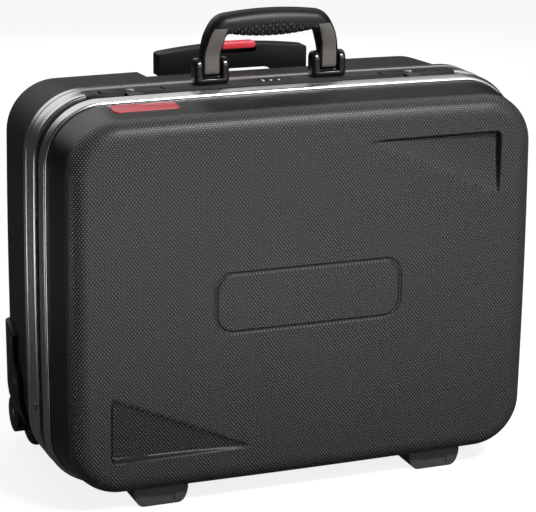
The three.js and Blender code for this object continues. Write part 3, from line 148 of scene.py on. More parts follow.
# Painted pools of light, seen only in gloss: (centre, radius that is fully lit, radius where the light ends,
# brightness), in metres.
for centre, full, none, peak in [
    ((-1.25, -0.05, 0.0), 0.2, 0.45, 3.5),
    ((0.1, -1.1, 0.0), 0.4, 0.75, 4.5),
    ((-0.55, 0.8, 0.0), 0.2, 0.5, 0.12),
]:
    spot = add_node(tree, "VectorMath", {0: place.outputs["Object"], 1: centre}, operation="DISTANCE")
    painted_light_pools.append(ramp(tree, spot.outputs["Value"], none, full, 0.05, peak))
camera_lift = combine(tree, "MULTIPLY", rays.outputs["Is Camera Ray"], 1.06)
strength = add_node(tree, "Mix", {
    "Factor": rays.outputs["Is Glossy Ray"], "A": camera_lift, "B": combine(tree, "MAXIMUM", *painted_light_pools)})
matt = add_node(tree, "BsdfDiffuse", {"Color": linear("#e9e9e9")})
lift = add_node(tree, "Emission", {"Color": linear("#ffffff"), "Strength": strength.outputs[0]})
share = ramp(tree, rays.outputs["Is Glossy Ray"], 0.0, 1.0, 0.8, 1.0)
dim = add_node(tree, "MixShader", {0: share, 1: matt.outputs[0], 2: lift.outputs[0]})
add_node(tree, "OutputMaterial", {0: dim.outputs[0]})
paper.cycles.emission_sampling = "NONE"
floor_mesh.materials.append(paper)

# Soft lights: (name, place, point it faces, size in metres, watts, seen in gloss).
for name, place, aim, size, watts, mirrored in [
    ("overhead_softbox", (0.1, 0.6, 2.2), (0, 0, 0.3), (1.6, 1.2), 16, False),
    ("front_softbox", (0.6, -1.5, 1.0), (0, 0, 0.25), (0.8, 0.6), 6, False),
    ("key_strip", (0.55, -1.35, 1.65), (0, 0, 0.35), (0.5, 0.16), 52, True),
    ("side_softbox", (-2.0, 0.9, 0.9), (0, 0, 0.2), (0.5, 1.2), 4, False),
    ("rear_softbox", (0.5, 2.2, 0.9), (0, 0, 0.2), (1.2, 1.2), 14, False),
]:
    lamp = bpy.data.objects.new(name, bpy.data.lights.new(name, "AREA"))
    bpy.context.scene.collection.objects.link(lamp)
    lamp.data.shape = "RECTANGLE"
    lamp.data.size, lamp.data.size_y = size
    lamp.data.energy = watts
    lamp.visible_glossy = mirrored
    towards = np.array(place) - np.array(aim)
    towards = towards / np.linalg.norm(towards)
    across = np.cross([0, 0, 1], towards)
    across = across / np.linalg.norm(across)
    lamp.matrix_world = Matrix([
        [*row, at] for row, at in zip(np.stack([across, np.cross(towards, across), towards], 1), place)
    ] + [[0, 0, 0, 1]])


# Front shell: the lid's skin, one sheet of charcoal ABS drawn over a mould, 3.3 mm thick.
# The mould gave its face and rounded rim a grain of small pimples and left the walls smooth;
# two corners are pressed in, and a shallow groove rings a blank panel in the middle.
CASE_WIDTH, CASE_HEIGHT, CASE_CENTRE_Z = 510.0, 396.6, 206.3
CORNER_RADIUS, SIDE_BOW = 62.0, 1.2
PARTING_Y = -49.5
SHELL_STEP = 5.4


def stops(*marks):
    """Places along a line: marks are place, steps, place, steps, ... place, evenly divided between places."""
    runs = [np.linspace(marks[i], marks[i + 2], marks[i + 1] + 1)[:-1] for i in range(0, len(marks) - 2, 2)]
    return np.concatenate(runs + [[marks[-1]]])


def case_outline(along_x, along_z, arc_steps):
    """Front view of the case as base points and outward directions, so that a point at an inset is
    base + direction * (corner radius - inset). Corners turn about four fixed centres; the sides between
    them are straight lines bowed outward by a parabola. along_x and along_z run from + to - centre."""
    span_x, span_z = CASE_WIDTH / 2 - SIDE_BOW - CORNER_RADIUS, CASE_HEIGHT / 2 - SIDE_BOW - CORNER_RADIUS
    angle = np.linspace(0, np.pi / 2, arc_steps + 1)
    top = np.stack([along_x, span_z + SIDE_BOW * (1 - (along_x / span_x) ** 2)], 1)[1:-1]
    right = np.stack([span_x + SIDE_BOW * (1 - (along_z / span_z) ** 2), along_z], 1)[1:-1]
    base, out = [], []
    for corner, (sign_x, sign_z), side, side_out in [
        (0, (1, 1), top, (0, 1)), (1, (-1, 1), right * [-1, 1], (-1, 0)),
        (2, (-1, -1), (top * [1, -1])[::-1], (0, -1)), (3, (1, -1), right[::-1], (1, 0)),
    ]:
        turn = angle + corner * np.pi / 2
        base += [np.tile([sign_x * span_x, sign_z * span_z], (len(turn), 1)), side]
        out += [np.stack([np.cos(turn), np.sin(turn)], 1), np.tile(side_out, (len(side), 1))]
    return np.concatenate(base), np.concatenate(out)


def grid_faces(rows, columns, first=0, closed=True):
    """Four-cornered faces between the rows of a grid of points; closed joins its last column to its first."""
    i = np.arange(rows - 1)[:, None] * columns + first
    j = np.arange(columns if closed else columns - 1)[None, :]
    k = (j + 1) % columns
    return np.stack([i + j, i + k, i + columns + k, i + columns + j], -1).reshape(-1, 4)


def make_piece(name, points, faces, uv=None, sharp=35, painted_recess_shade=None):
    """Mesh object from points in millimetres and faces. Doubled corners are merged, the faces turned outward,
    and edges sharper than the given angle stay crisp. The last argument marks each point's share of a
    pressed-in wall, which the lid's material darkens as painted shade."""
    mesh = bpy.data.meshes.new(name)
    mesh.from_pydata((np.asarray(points) * 0.001).tolist(), [], [list(face) for face in faces])
    if uv is not None:
        corner = np.zeros(len(mesh.loops), np.int32)
        mesh.loops.foreach_get("vertex_index", corner)
        mesh.uv_layers.new(name="unrolled").data.foreach_set("uv", np.asarray(uv, np.float32)[corner].ravel())
    if painted_recess_shade is not None:
        marks = mesh.attributes.new("painted_recess_shade", "FLOAT", "POINT")
        marks.data.foreach_set("value", np.asarray(painted_recess_shade, np.float32))
    work = bmesh.new()
    work.from_mesh(mesh)
    bmesh.ops.remove_doubles(work, verts=work.verts, dist=1e-5)
    bmesh.ops.recalc_face_normals(work, faces=work.faces)
    work.to_mesh(mesh)
    work.free()
    mesh.shade_smooth()
    mesh.set_sharp_from_angle(angle=math.radians(sharp))
    made = bpy.data.objects.new(name, mesh)
    bpy.context.scene.collection.objects.link(made)
    return made


def shell_profile(rim, straight, face, draft, rounding, wall, face_wall):
    """Inset and depth of a shell from its rim round to its flat face: a straight lip, a drafted wall that
    meets a quarter circle at its own slope, then the flat. Returns the outer and the inner run."""
    toward = 1 if face > rim else -1
    slope = math.atan2(draft, abs(face - straight) - rounding)
    runs = []
    for shift, face_shift in ((0, 0), (wall, face_wall)):
        angle = np.linspace(slope, np.pi / 2, 15)
        centre = (SHELL_STEP + draft + rounding, face - toward * rounding)
        turn = np.stack([
            centre[0] - (rounding - shift) * np.cos(angle),
            centre[1] + toward * (rounding - face_shift) * np.sin(angle)], 1)
        lip = np.array([[SHELL_STEP + shift, rim], [SHELL_STEP + shift, straight - toward * 2.0]])
        start = lip[1]
        wall_run = start + (turn[0] - start) * np.linspace(0, 1, 8)[1:-1, None]
        runs.append(np.concatenate([lip, wall_run, turn]))
    return runs


def unrolled_reach(levels):
    """Distance of each level from the corner centres, along the profile instead of straight across."""
    steps = np.linalg.norm(np.diff(levels, axis=0), axis=1)
    return CORNER_RADIUS - levels[-1, 0] + np.append(np.cumsum(steps[::-1])[::-1], 0)


def pressed_in(x, z):
    """Depth pressed into the lid's face. Corner fields: 8 mm at their outer corner, falling away along
    150 x 68 mm; the groove: 1.2 mm deep and 4.5 mm wide inside a rounded rectangle of 200 x 64 mm."""
    deep = np.zeros_like(x)
    smooth = lambda t: np.clip(t, 0, 1) ** 2 * (3 - 2 * np.clip(t, 0, 1))
    for side in (1, -1):
        a, b = 206 - side * x, 152.0 - side * z
        radius = 7.0
        near = (a < radius) & (b < radius)
        edge = np.where(near, radius - np.hypot(radius - a, radius - b), np.minimum(a, b))
        deep += 8.0 * np.clip(1 - a / 150 - b / 68, 0, 1) ** 0.55 * smooth(edge / 4.0)
    corner = 20.0
    qx, qz = np.abs(x) - (100 - corner), np.abs(z) - (32 - corner)
    inside = corner - np.hypot(np.maximum(qx, 0), np.maximum(qz, 0)) - np.minimum(np.maximum(qx, qz), 0)
    return deep + 1.2 * smooth(inside / 1.6) * smooth((4.5 - inside) / 1.6)


def wall_share(x, z):
    """How much a place on the lid's face belongs to a pressed-in wall: slopes from 0.3 up to 0.8 and over."""
    slope_x = pressed_in(x + 0.4, z) - pressed_in(x - 0.4, z)
    slope_z = pressed_in(x, z + 0.4) - pressed_in(x, z - 0.4)
    return np.clip((np.hypot(slope_x, slope_z) / 0.8 - 0.3) / 0.5, 0, 1)


def shell_skin(name, along_x, along_z, arc_steps, rings, outer, inner, face_depth):
    """Closed skin of a shell. Rings carry the outer profile round the outline; the flat goes on in rings to
    the corner centres and as a grid inside them; the inner profile returns to the rim and ends in a fan."""
    base, out = case_outline(along_x, along_z, arc_steps)
    flat = np.stack([rings, np.full(len(rings), outer[-1, 1])], 1)
    levels = np.concatenate([inner[::-1], outer, flat])
    reach = CORNER_RADIUS - levels[:, 0]
    plan = base[None] + out[None] * reach[:, None, None]
    depth = np.repeat(levels[:, 1][:, None], len(base), 1)
    toward = 1 if outer[-1, 1] > outer[0, 1] else -1
    on_face = len(inner) + len(outer) - 1
    depth[on_face:] -= toward * face_depth(plan[on_face:, :, 0], plan[on_face:, :, 1])
    spread = np.concatenate([unrolled_reach(inner)[::-1], unrolled_reach(outer), CORNER_RADIUS - rings])
    layout = base[None] + out[None] * spread[:, None, None]
    span_x, span_z = along_x[0], along_z[0]
    gx, gz = np.meshgrid(along_x, along_z)
    grid_x = gx + SIDE_BOW * (1 - (gz / span_z) ** 2) * gx / span_x
    grid_z = gz + SIDE_BOW * (1 - (gx / span_x) ** 2) * gz / span_z
    grid_d = outer[-1, 1] - toward * face_depth(grid_x, grid_z)
    count = levels.shape[0] * len(base)
    points = np.concatenate([
        np.stack([plan[..., 0], PARTING_Y + depth, CASE_CENTRE_Z + plan[..., 1]], -1).reshape(-1, 3),
        np.stack([grid_x, PARTING_Y + grid_d, CASE_CENTRE_Z + grid_z], -1).reshape(-1, 3),
        [[0, PARTING_Y + inner[-1, 1], CASE_CENTRE_Z]],
    ])
    around = np.arange(len(base))
    fan = np.stack([np.full(len(base), len(points) - 1), (around + 1) % len(base), around], 1)
    faces = (grid_faces(len(levels), len(base)).tolist()
             + grid_faces(len(along_z), len(along_x), count, False).tolist() + fan.tolist())
    uv = np.concatenate([layout.reshape(-1, 2), np.stack([grid_x, grid_z], -1).reshape(-1, 2), [[0, 0]]])
    # Pressed-in walls are marked here; the lid's material darkens them as painted shade.
    painted_recess_shade = np.zeros(depth.shape)
    if face_depth is pressed_in:
        painted_recess_shade[on_face:] = wall_share(plan[on_face:, :, 0], plan[on_face:, :, 1])
    grid_steep = wall_share(grid_x, grid_z).ravel() * (face_depth is pressed_in)
    painted_recess_shade = np.concatenate([painted_recess_shade.ravel(), grid_steep, [0]])
    return make_piece(name, points, faces, uv, 40, painted_recess_shade)


lid_outer, lid_inner = shell_profile(-13.0, -25.3, -81.0, 5.1, 18.7, 3.3, 11.0)
front_shell = shell_skin(
    "lid_skin",
    stops(191.8, 32, 104, 22, 78, 60, -78, 22, -104, 32, -191.8),
    stops(135.1, 36, 36, 24, 10, 6, -10, 24, -36, 36, -135.1), 20,
    stops(29.2, 5, 36, 27, 52, 6, 62)[1:], lid_outer, lid_inner, pressed_in)

# ABS, vacuum formed: charcoal, matt, with round pimples in staggered rows 3.5 mm apart on a fine
# leathery ground. The pimple tops are coloured lighter as a painted highlight; the smooth walls get a darker
# ground and pressed-in walls are coloured near black, both painted shade. Over the mould's rounded rim the
# sheet is stretched, so it is smoother there than on the flat face.
grained_abs, tree = new_material("charcoal_abs_pimpled")
layout = add_node(tree, "UVMap", uv_map="unrolled")
place = add_node(tree, "TexCoord")
PIMPLE_PITCH_ACROSS, PIMPLE_PITCH_ALONG = 3.5, 4.4
slanted = add_node(tree, "Mapping", {
    "Vector": layout.outputs[0], "Rotation": (0, 0, math.pi / 4),
    "Scale": (math.sqrt(2) / PIMPLE_PITCH_ACROSS, math.sqrt(2) / PIMPLE_PITCH_ALONG, 1)})
lattice = add_node(tree, "TexVoronoi", {"Vector": slanted.outputs[0], "Scale": 1.0, "Randomness": 0.0},
                   voronoi_dimensions="2D")
pimple = add_node(
    tree, "MapRange", {"Value": lattice.outputs["Distance"], "From Min": 0.36, "From Max": 0.14},
    interpolation_type="SMOOTHSTEP")
depth = add_node(tree, "SeparateXYZ", {0: place.outputs["Object"]})
# Metres from the middle between both faces, each about 0.119 m from it; the pimples begin on the rim.
far = add_node(tree, "Math", {0: depth.outputs["Y"], 1: 0.0113}, operation="ADD")
far = add_node(tree, "Math", {0: far.outputs[0]}, operation="ABSOLUTE")
zone = add_node(tree, "MapRange", {"Value": far.outputs[0], "From Min": 0.0995, "From Max": 0.1055},
                interpolation_type="SMOOTHSTEP")
painted_recess_shade = add_node(tree, "Attribute", attribute_name="painted_recess_shade")
plain = add_node(tree, "Math", {0: 1.0, 1: painted_recess_shade.outputs["Fac"]}, operation="SUBTRACT")
field = add_node(tree, "Math", {0: zone.outputs[0], 1: plain.outputs[0]}, operation="MULTIPLY")
raised = add_node(tree, "Math", {0: pimple.outputs[0], 1: field.outputs[0]}, operation="MULTIPLY")
leather = add_node(tree, "TexNoise", {"Vector": place.outputs["Object"], "Scale": 900.0, "Detail": 3.0})
cloud = add_node(tree, "TexNoise", {"Vector": place.outputs["Object"], "Scale": 9.0, "Detail": 2.0})
# Painted shade: the smooth walls get a darker ground than the grained face of the same sheet.
shaded_wall_ground = add_node(tree, "Mix", {
    "Factor": cloud.outputs["Fac"], 6: linear("#080809"), 7: linear("#0c0c0d")}, data_type="RGBA")
face_ground = add_node(tree, "Mix", {
    "Factor": cloud.outputs["Fac"], 6: linear("#1c1c1d"), 7: linear("#242425")}, data_type="RGBA")
ground = add_node(tree, "Mix", {
    "Factor": field.outputs[0], 6: shaded_wall_ground.outputs[2], 7: face_ground.outputs[2]}, data_type="RGBA")
# Painted highlight: the pimple tops are coloured lighter.
tint = add_node(tree, "Mix", {"Factor": raised.outputs[0], 6: ground.outputs[2], 7: linear("#4c4c4d")},
                data_type="RGBA")
# Painted shade: pressed-in walls and the groove are coloured near black.
tint = add_node(tree, "Mix", {"Factor": painted_recess_shade.outputs["Fac"], 6: tint.outputs[2], 7: linear("#080808")},
                data_type="RGBA")
rough = combine(tree, "MAXIMUM", ramp(tree, far.outputs[0], 0.1125, 0.1188, 0.32, 0.5),
                ramp(tree, depth.outputs["Y"], -0.03, -0.01, 0.34, 0.6))
shine = combine(tree, "ADD", ramp(tree, field.outputs[0], 0, 1, 0.35, 0.25),
                ramp(tree, raised.outputs[0], 0, 1, 0, 0.75))
fine = add_node(tree, "Bump", {"Height": leather.outputs["Fac"], "Strength": 0.12, "Distance": 0.0002})
bumps = add_node(tree, "Bump", {
    "Height": raised.outputs[0], "Strength": 1.0, "Distance": 0.0008, "Normal": fine.outputs[0]})
shader = add_node(tree, "BsdfPrincipled", {
    "Base Color": tint.outputs[2], "Roughness": rough, "Specular IOR Level": shine,
    "Normal": bumps.outputs[0]})
add_node(tree, "OutputMaterial", {0: shader.outputs[0]})


def fit(piece, material, body, slot, *nodes):
    """Gives a piece its material and its body and hides the nodes it stands for; slot is not used."""
    piece.data.materials.clear()
    piece.data.materials.append(material)
    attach(piece, body)
    if nodes:
        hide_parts(*nodes)
    return piece


fit(front_shell, grained_abs, "lid", "shell_plastic", "front_shell")


# Rear shell: the base's skin, the same ABS sheet drawn deeper. Its back face has the same pimples.
# The top is sunk for the pull handle, with a hole for each of its tubes, and the lower rear corners
# are cut out for the wheels.
WHEEL_X, WHEEL_Y, WHEEL_Z = 213.5, 94.5, 36.0
TUBE_X, TUBE_Y, TUBE_HALF_WIDTH, TUBE_HALF_DEPTH = 64.5, 96.0, 11.0, 7.5
NOTCH_FLOOR_Z, HOLE_GAP = 382.0, 0.3


def cut(piece, tool, operation="DIFFERENCE"):
    """Cuts a piece with a closed tool, or joins or crosses them, and drops the tool."""
    change = piece.modifiers.new("cut", "BOOLEAN")
    change.operation, change.object, change.solver = operation, tool, "MANIFOLD"
    bpy.context.view_layer.update()
    shaped = bpy.data.meshes.new_from_object(piece.evaluated_get(bpy.context.evaluated_depsgraph_get()))
    piece.modifiers.clear()
    shaped.name = piece.data.name + "_cut"
    piece.data = shaped
    bpy.data.objects.remove(tool)
    shaped.shade_smooth()
    shaped.set_sharp_from_angle(angle=math.radians(35))
    return piece


def drawn_out(name, outline, start, end, axis="y"):
    """Closed block: a flat outline drawn out along an axis between two places."""
    outline = np.asarray(outline, float)
    ends = [np.column_stack([outline, np.full(len(outline), place)]) for place in (start, end)]
    points = np.concatenate(ends)[:, {"x": [2, 0, 1], "y": [0, 2, 1], "z": [0, 1, 2]}[axis]]
    count = len(outline)
    faces = grid_faces(2, count).tolist() + [list(range(count)), list(range(count, 2 * count))]
    return make_piece(name, points, faces)


def bend(start, pull, end, steps=8):
    """Points of a curve from start to end drawn towards a third point, without its first point."""
    t = np.linspace(0, 1, steps + 1)[1:, None]
    return (1 - t) ** 2 * np.array(start) + 2 * t * (1 - t) * np.array(pull) + t ** 2 * np.array(end)


def notch_outline(grow):
    """Sunk place for the pull handle, seen from the back: flat floor, rounded foot, sides leaning out."""
    half, floor_z = 104 + grow, NOTCH_FLOOR_Z - grow
    left = np.concatenate([[[-half - 12, 416]], [[-half, floor_z + 12]],
                           bend((-half, floor_z + 12), (-half + 1, floor_z), (-half + 12, floor_z))])
    return np.concatenate([left, (left * [-1, 1])[::-1]])


def wheel_window(side, grow):
    """Cylinder about the wheel's axle, from inside the well outward."""
    turn = np.linspace(0, 2 * np.pi, 65)[:-1]
    rim = np.stack([WHEEL_Y + (40 + grow) * np.cos(turn), WHEEL_Z + (40 + grow) * np.sin(turn)], 1)
    return drawn_out("window", rim, side * (196 - grow), side * 262, "x")


def rod(radius, start, end, y, z):
    """Round rod along x, as a tool for bores."""
    turn = np.linspace(0, 2 * np.pi, 41)[:-1]
    circle = np.stack([y + radius * np.cos(turn), z + radius * np.sin(turn)], 1)
    return drawn_out("rod", circle, start, end, "x")


base_outer, base_inner = shell_profile(41.0, 57.8, 157.7, 4.0, 17.0, 3.3, 3.3)
no_depth = lambda x, z: np.zeros_like(x)
rear_shell = shell_skin(
    "base_skin", stops(191.8, 64, -191.8), stops(135.1, 46, -135.1), 20,
    stops(26.4, 9, 62)[1:], base_outer, base_inner, no_depth)
rear_solid = shell_skin(
    "rear_solid", stops(191.8, 64, -191.8), stops(135.1, 46, -135.1), 20,
    stops(26.4, 9, 62)[1:], base_outer, base_outer[:2] + [[150, 0], [150, 0]], no_depth)
tray = cut(drawn_out("tray", notch_outline(3.3), 54.7, 112.0), rear_solid, "INTERSECT")
cut(rear_shell, tray, "UNION")
cut(rear_shell, drawn_out("notch", notch_outline(0), 58.0, 114.0))
for side in (1, -1):
    cut(rear_shell, wheel_window(side, 3.8))
    reach = [TUBE_HALF_WIDTH + HOLE_GAP, TUBE_HALF_DEPTH + HOLE_GAP]
    hole = np.array([(-1, -1), (1, -1), (1, 1), (-1, 1)]) * reach + [side * TUBE_X, TUBE_Y]
    cut(rear_shell, drawn_out("tube_hole", hole, NOTCH_FLOOR_Z - 10, NOTCH_FLOOR_Z + 1, "z"))
fit(rear_shell, grained_abs, "root", "shell_plastic", "rear_shell")


# Frames: one aluminium extrusion round each half, bent at the corners and joined at the bottom.
# Drawing it through the die leaves fine lines along its length; the surface is anodised silver.
def eased(corners, radius, steps=4):
    """Closed profile with every corner rounded: a curve drawn towards the corner, at most 45% of the
    shorter side."""
    corners = np.asarray(corners, float)
    before, after = np.roll(corners, 1, 0) - corners, np.roll(corners, -1, 0) - corners
    to_before = np.linalg.norm(before, axis=1)[:, None]
    to_after = np.linalg.norm(after, axis=1)[:, None]
    reach = np.minimum(radius, 0.45 * np.minimum(to_before, to_after))
    start, end = corners + before / to_before * reach, corners + after / to_after * reach
    t = np.linspace(0, 1, steps + 1)[None, :, None]
    points = (1 - t) ** 2 * start[:, None] + 2 * t * (1 - t) * corners[:, None] + t ** 2 * end[:, None]
    return points.reshape(-1, 2)


def frame_ring(name, profile):
    """Closed profile of [inset, depth] carried round the case's outline."""
    base, out = case_outline(stops(191.8, 40, -191.8), stops(135.1, 28, -135.1), 28)
    profile = np.concatenate([profile, profile[:1]])
    plan = base[None] + out[None] * (CORNER_RADIUS - profile[:, :1, None])
    depth = np.repeat(PARTING_Y + profile[:, 1:], len(base), 1)
    points = np.stack([plan[..., 0], depth, CASE_CENTRE_Z + plan[..., 1]], -1).reshape(-1, 3)
    return make_piece(name, points, grid_faces(len(profile), len(base)), sharp=50)


def drawn_metal(name, colour, roughness, stretch):
    """Metal with fine lines left by drawing or brushing: noise stretched along the lines, at their real
    width."""
    material, tree = new_material(name)
    place = add_node(tree, "TexCoord")
    along = add_node(tree, "Mapping", {"Vector": place.outputs["Object"], "Scale": stretch})
    lines = add_node(tree, "TexNoise", {
        "Vector": along.outputs[0], "Scale": 1.0, "Detail": 3.0, "Roughness": 0.6})
    cloud = add_node(tree, "TexNoise", {"Vector": place.outputs["Object"], "Scale": 30.0, "Detail": 2.0})
    shade = add_node(tree, "Mix", {
        "Factor": cloud.outputs["Fac"], 6: linear(colour[0]), 7: linear(colour[1])}, data_type="RGBA")
    rough = add_node(tree, "MapRange", {
        "Value": lines.outputs["Fac"], "From Min": 0.3, "From Max": 0.7,
        "To Min": roughness[0], "To Max": roughness[1]})
    groove = add_node(tree, "Bump", {"Height": lines.outputs["Fac"], "Strength": 0.4, "Distance": 0.00004})
    shader = add_node(tree, "BsdfPrincipled", {
        "Base Color": shade.outputs[2], "Metallic": 1.0, "Roughness": rough.outputs[0],
        "Normal": groove.outputs[0]})
    add_node(tree, "OutputMaterial", {0: shader.outputs[0]})
    return material


anodised = drawn_metal("anodised_aluminium_extrusion", ("#b3b4b5", "#c0c0c1"), (0.2, 0.32), (8, 2500, 8))

lid_profile = [
    (4.3, -20), (3.1, -19.4), (2.4, -17.8), (0.5, -9.8), (0.8, -8.6), (1.7, -8), (5.5, -8), (5.5, -0.3),
    (10.5, -0.3), (10.5, -24.7), (9, -24.7), (9, -12.7), (5.1, -12.7), (5.1, -20)]
# A bore on each side takes the stud of the lid's stay link.
STAY_Y, STAY_Z, STUD_RADIUS = -63.5, 89.0, 2.0
lid_band = frame_ring("lid_band", eased(lid_profile, 0.5))
for side in (1, -1):
    cut(lid_band, rod(STUD_RADIUS + HOLE_GAP, side * 240, side * 246.5, STAY_Y, STAY_Z))
fit(lid_band, anodised, "lid", "frame_aluminium", "front_frame")

base_profile = [
    (1.5, 8.3), (0.4, 9.6), (0, 12), (0, 17.5), (0.7, 18.2), (0.7, 34.8), (0, 35.5), (0, 43.5), (0.4, 45),
    (1.6, 45.8), (5.1, 45.8), (5.1, 41.8), (2.4, 41.8), (2.4, 30.2), (8.9, 30.2), (8.9, 55.8), (10.5, 55.8),
    (10.5, 0.3),
    (5.5, 0.3), (5.5, 8.3)]
rear_band = frame_ring("base_band", eased(base_profile, 0.4))
strip_place = [(-200.3, 395.3), (194.3, 395.3), (194.3, 420), (-200.3, 420)]
dial_place = [(-22, 380), (12, 380), (12, 400), (-22, 400)]
cut(rear_band, drawn_out("strip_pocket", strip_place, -42.5, -21.8))
cut(rear_band, drawn_out("dial_pocket", dial_place, -41.3, -22.0))
fit(rear_band, anodised, "root", "frame_aluminium", "rear_frame")

# Seals: two strips of black foam rubber that meet where the halves close, matt and finely porous.
rubber, tree = new_material("black_foam_rubber")
place = add_node(tree, "TexCoord")
pores = add_node(tree, "TexVoronoi", {"Vector": place.outputs["Object"], "Scale": 1800.0})
tone = add_node(tree, "Mix", {
    "Factor": pores.outputs["Distance"], 6: linear("#0c0c0d"), 7: linear("#161617")}, data_type="RGBA")
pitted = add_node(tree, "Bump", {"Height": pores.outputs["Distance"], "Strength": 0.4, "Distance": 0.0002})
shader = add_node(tree, "BsdfPrincipled", {
    "Base Color": tone.outputs[2], "Roughness": 0.85, "Specular IOR Level": 0.25,
    "Normal": pitted.outputs[0]})
add_node(tree, "OutputMaterial", {0: shader.outputs[0]})
for name, start, end, body, node in [
    ("lid_seal", -7.7, -0.15, "lid", "front_seal"), ("base_seal", 0.15, 8.0, "root", "rear_seal"),
]:
    ring = frame_ring(name, eased([(5.2, start), (5.2, end), (3.6, end), (3.6, start)], 0.5))
    fit(ring, rubber, body, "seal_rubber", node)


# Lock strip, latches and number lock: moulded in grey-black polyamide with a fine spark-eroded grain,
# let into the top of the base frame. The key cylinders and all pins are nickel-plated steel.
def moulded(name, colour, roughness, grain, specular=0.4, edge_highlight=None):
    """Moulded plastic: two close shades in soft clouds, grain of a real size in millimetres, and a painted
    highlight: a lighter colour along the sharp edges."""
    material, tree = new_material(name)
    place = add_node(tree, "TexCoord")
    cells = add_node(tree, "TexNoise", {
        "Vector": place.outputs["Object"], "Scale": 1000 / grain, "Detail": 3.0})
    cloud = add_node(tree, "TexNoise", {"Vector": place.outputs["Object"], "Scale": 14.0, "Detail": 3.0})
    shade = add_node(tree, "Mix", {
        "Factor": cloud.outputs["Fac"], 6: linear(colour[0]), 7: linear(colour[1])}, data_type="RGBA")
    highlight_geometry = add_node(tree, "NewGeometry")
    edge = add_node(tree, "MapRange", {
        "Value": highlight_geometry.outputs["Pointiness"], "From Min": 0.52, "From Max": 0.62},
        interpolation_type="SMOOTHSTEP")
    # Painted highlight: sharp edges are coloured lighter, in the given edge colour.
    tint = add_node(tree, "Mix", {
        "Factor": edge.outputs[0], 6: shade.outputs[2], 7: linear(edge_highlight or colour[1])}, data_type="RGBA")
    rough = add_node(tree, "MapRange", {
        "Value": cells.outputs["Fac"], "From Min": 0.3, "From Max": 0.7,
        "To Min": roughness[0], "To Max": roughness[1]})
    bump = add_node(tree, "Bump", {
        "Height": cells.outputs["Fac"], "Strength": 0.2, "Distance": grain * 0.0001})
    shader = add_node(tree, "BsdfPrincipled", {
        "Base Color": tint.outputs[2], "Roughness": rough.outputs[0], "Specular IOR Level": specular,
        "Normal": bump.outputs[0]})
    add_node(tree, "OutputMaterial", {0: shader.outputs[0]})
    return material


def edges_rounded(piece, width, steps=3, angle=35):
    """Rounds the piece's sharp edges to a width in millimetres."""
    bevel = piece.modifiers.new("edges", "BEVEL")
    bevel.width, bevel.segments, bevel.limit_method = width * 0.001, steps, "ANGLE"
    bevel.angle_limit = math.radians(angle)
    bpy.context.view_layer.update()
    shaped = bpy.data.meshes.new_from_object(piece.evaluated_get(bpy.context.evaluated_depsgraph_get()))
    piece.modifiers.clear()
    piece.data = shaped
    shaped.shade_smooth()
    shaped.set_sharp_from_angle(angle=math.radians(40))
    return piece


def finished_copy(name, node, width, steps=2):
    """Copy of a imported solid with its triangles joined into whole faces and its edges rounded."""
    mesh = frame["nodes"][node].data.copy()
    work = bmesh.new()
    work.from_mesh(mesh)
    bmesh.ops.remove_doubles(work, verts=work.verts, dist=1e-6)
    bmesh.ops.dissolve_limit(work, angle_limit=math.radians(1.5), verts=work.verts, edges=work.edges)
    work.to_mesh(mesh)
    work.free()
    made = bpy.data.objects.new(name, mesh)
    bpy.context.scene.collection.objects.link(made)
    return edges_rounded(made, width, steps)


lock_grey = moulded(
    "grey_black_polyamide", ("#0d0d0e", "#111112"), (0.42, 0.56), 0.5, specular=0.2, edge_highlight="#2a2a2b")
satin_black = moulded(
    "black_polypropylene_satin", ("#0a0a0b", "#0e0e0f"), (0.36, 0.48), 0.6, specular=0.2, edge_highlight="#232324")
nickel = drawn_metal("nickel_plated_steel", ("#8c8d8f", "#9a9b9c"), (0.25, 0.4), (400, 400, 400))

fit(finished_copy("lock_strip_body", "lock_strip", 0.4), lock_grey, "root", "lock_plastic", "lock_strip")
fit(finished_copy("dial_surround", "dial_panel", 0.3), lock_grey, "root", "lock_plastic", "dial_panel")
for side in ("left", "right"):
    latch, key = f"latch_{side}", f"key_cylinder_{side}"
    fit(finished_copy(f"latch_lever_{side}", latch, 0.5), lock_grey, latch, "lock_plastic", latch)
    fit(finished_copy(f"key_barrel_{side}", key, 0.3), nickel, key, "steel", key)

# Number wheels: black barrels with ten flats and a printed white figure on each.
figure_paint = moulded("white_figure_ink", ("#e6e6e4", "#efefed"), (0.45, 0.55), 0.4)
for wheel in (1, 2, 3):
    node = f"number_wheel_{wheel}"
    fit(finished_copy(f"number_barrel_{wheel}", node, 0.35), satin_black, node, "satin_plastic", node)
    low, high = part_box(node)
    middle = np.array((low + high) / 2)
    points, faces = [], []
    for figure in range(10):
        letter = bpy.data.curves.new("figure", "FONT")
        letter.body, letter.size, letter.align_x, letter.align_y = str(figure), 0.0056, "CENTER", "CENTER"
        letter.extrude = 0.00006
        drawn = bpy.data.objects.new("figure", letter)
        bpy.context.scene.collection.objects.link(drawn)
        bpy.context.view_layer.update()
        mesh = bpy.data.meshes.new_from_object(drawn.evaluated_get(bpy.context.evaluated_depsgraph_get()))
        corners = np.array([v.co for v in mesh.vertices])
        corners[:, 2] += 0.0065 * math.cos(math.pi / 10)
        turn = figure * math.pi / 5 + wheel * 3 * math.pi / 5
        y = corners[:, 1] * math.cos(turn) - corners[:, 2] * math.sin(turn)
        z = corners[:, 1] * math.sin(turn) + corners[:, 2] * math.cos(turn)
        faces += [[i + sum(len(p) for p in points) for i in face.vertices] for face in mesh.polygons]
        points.append(np.stack([corners[:, 0] + middle[0], y + middle[1], z + middle[2]], 1) * 1000)
        bpy.data.objects.remove(drawn)
    figures = make_piece(f"figures_{wheel}", np.concatenate(points), faces)
    fit(figures, figure_paint, node, "satin_plastic")

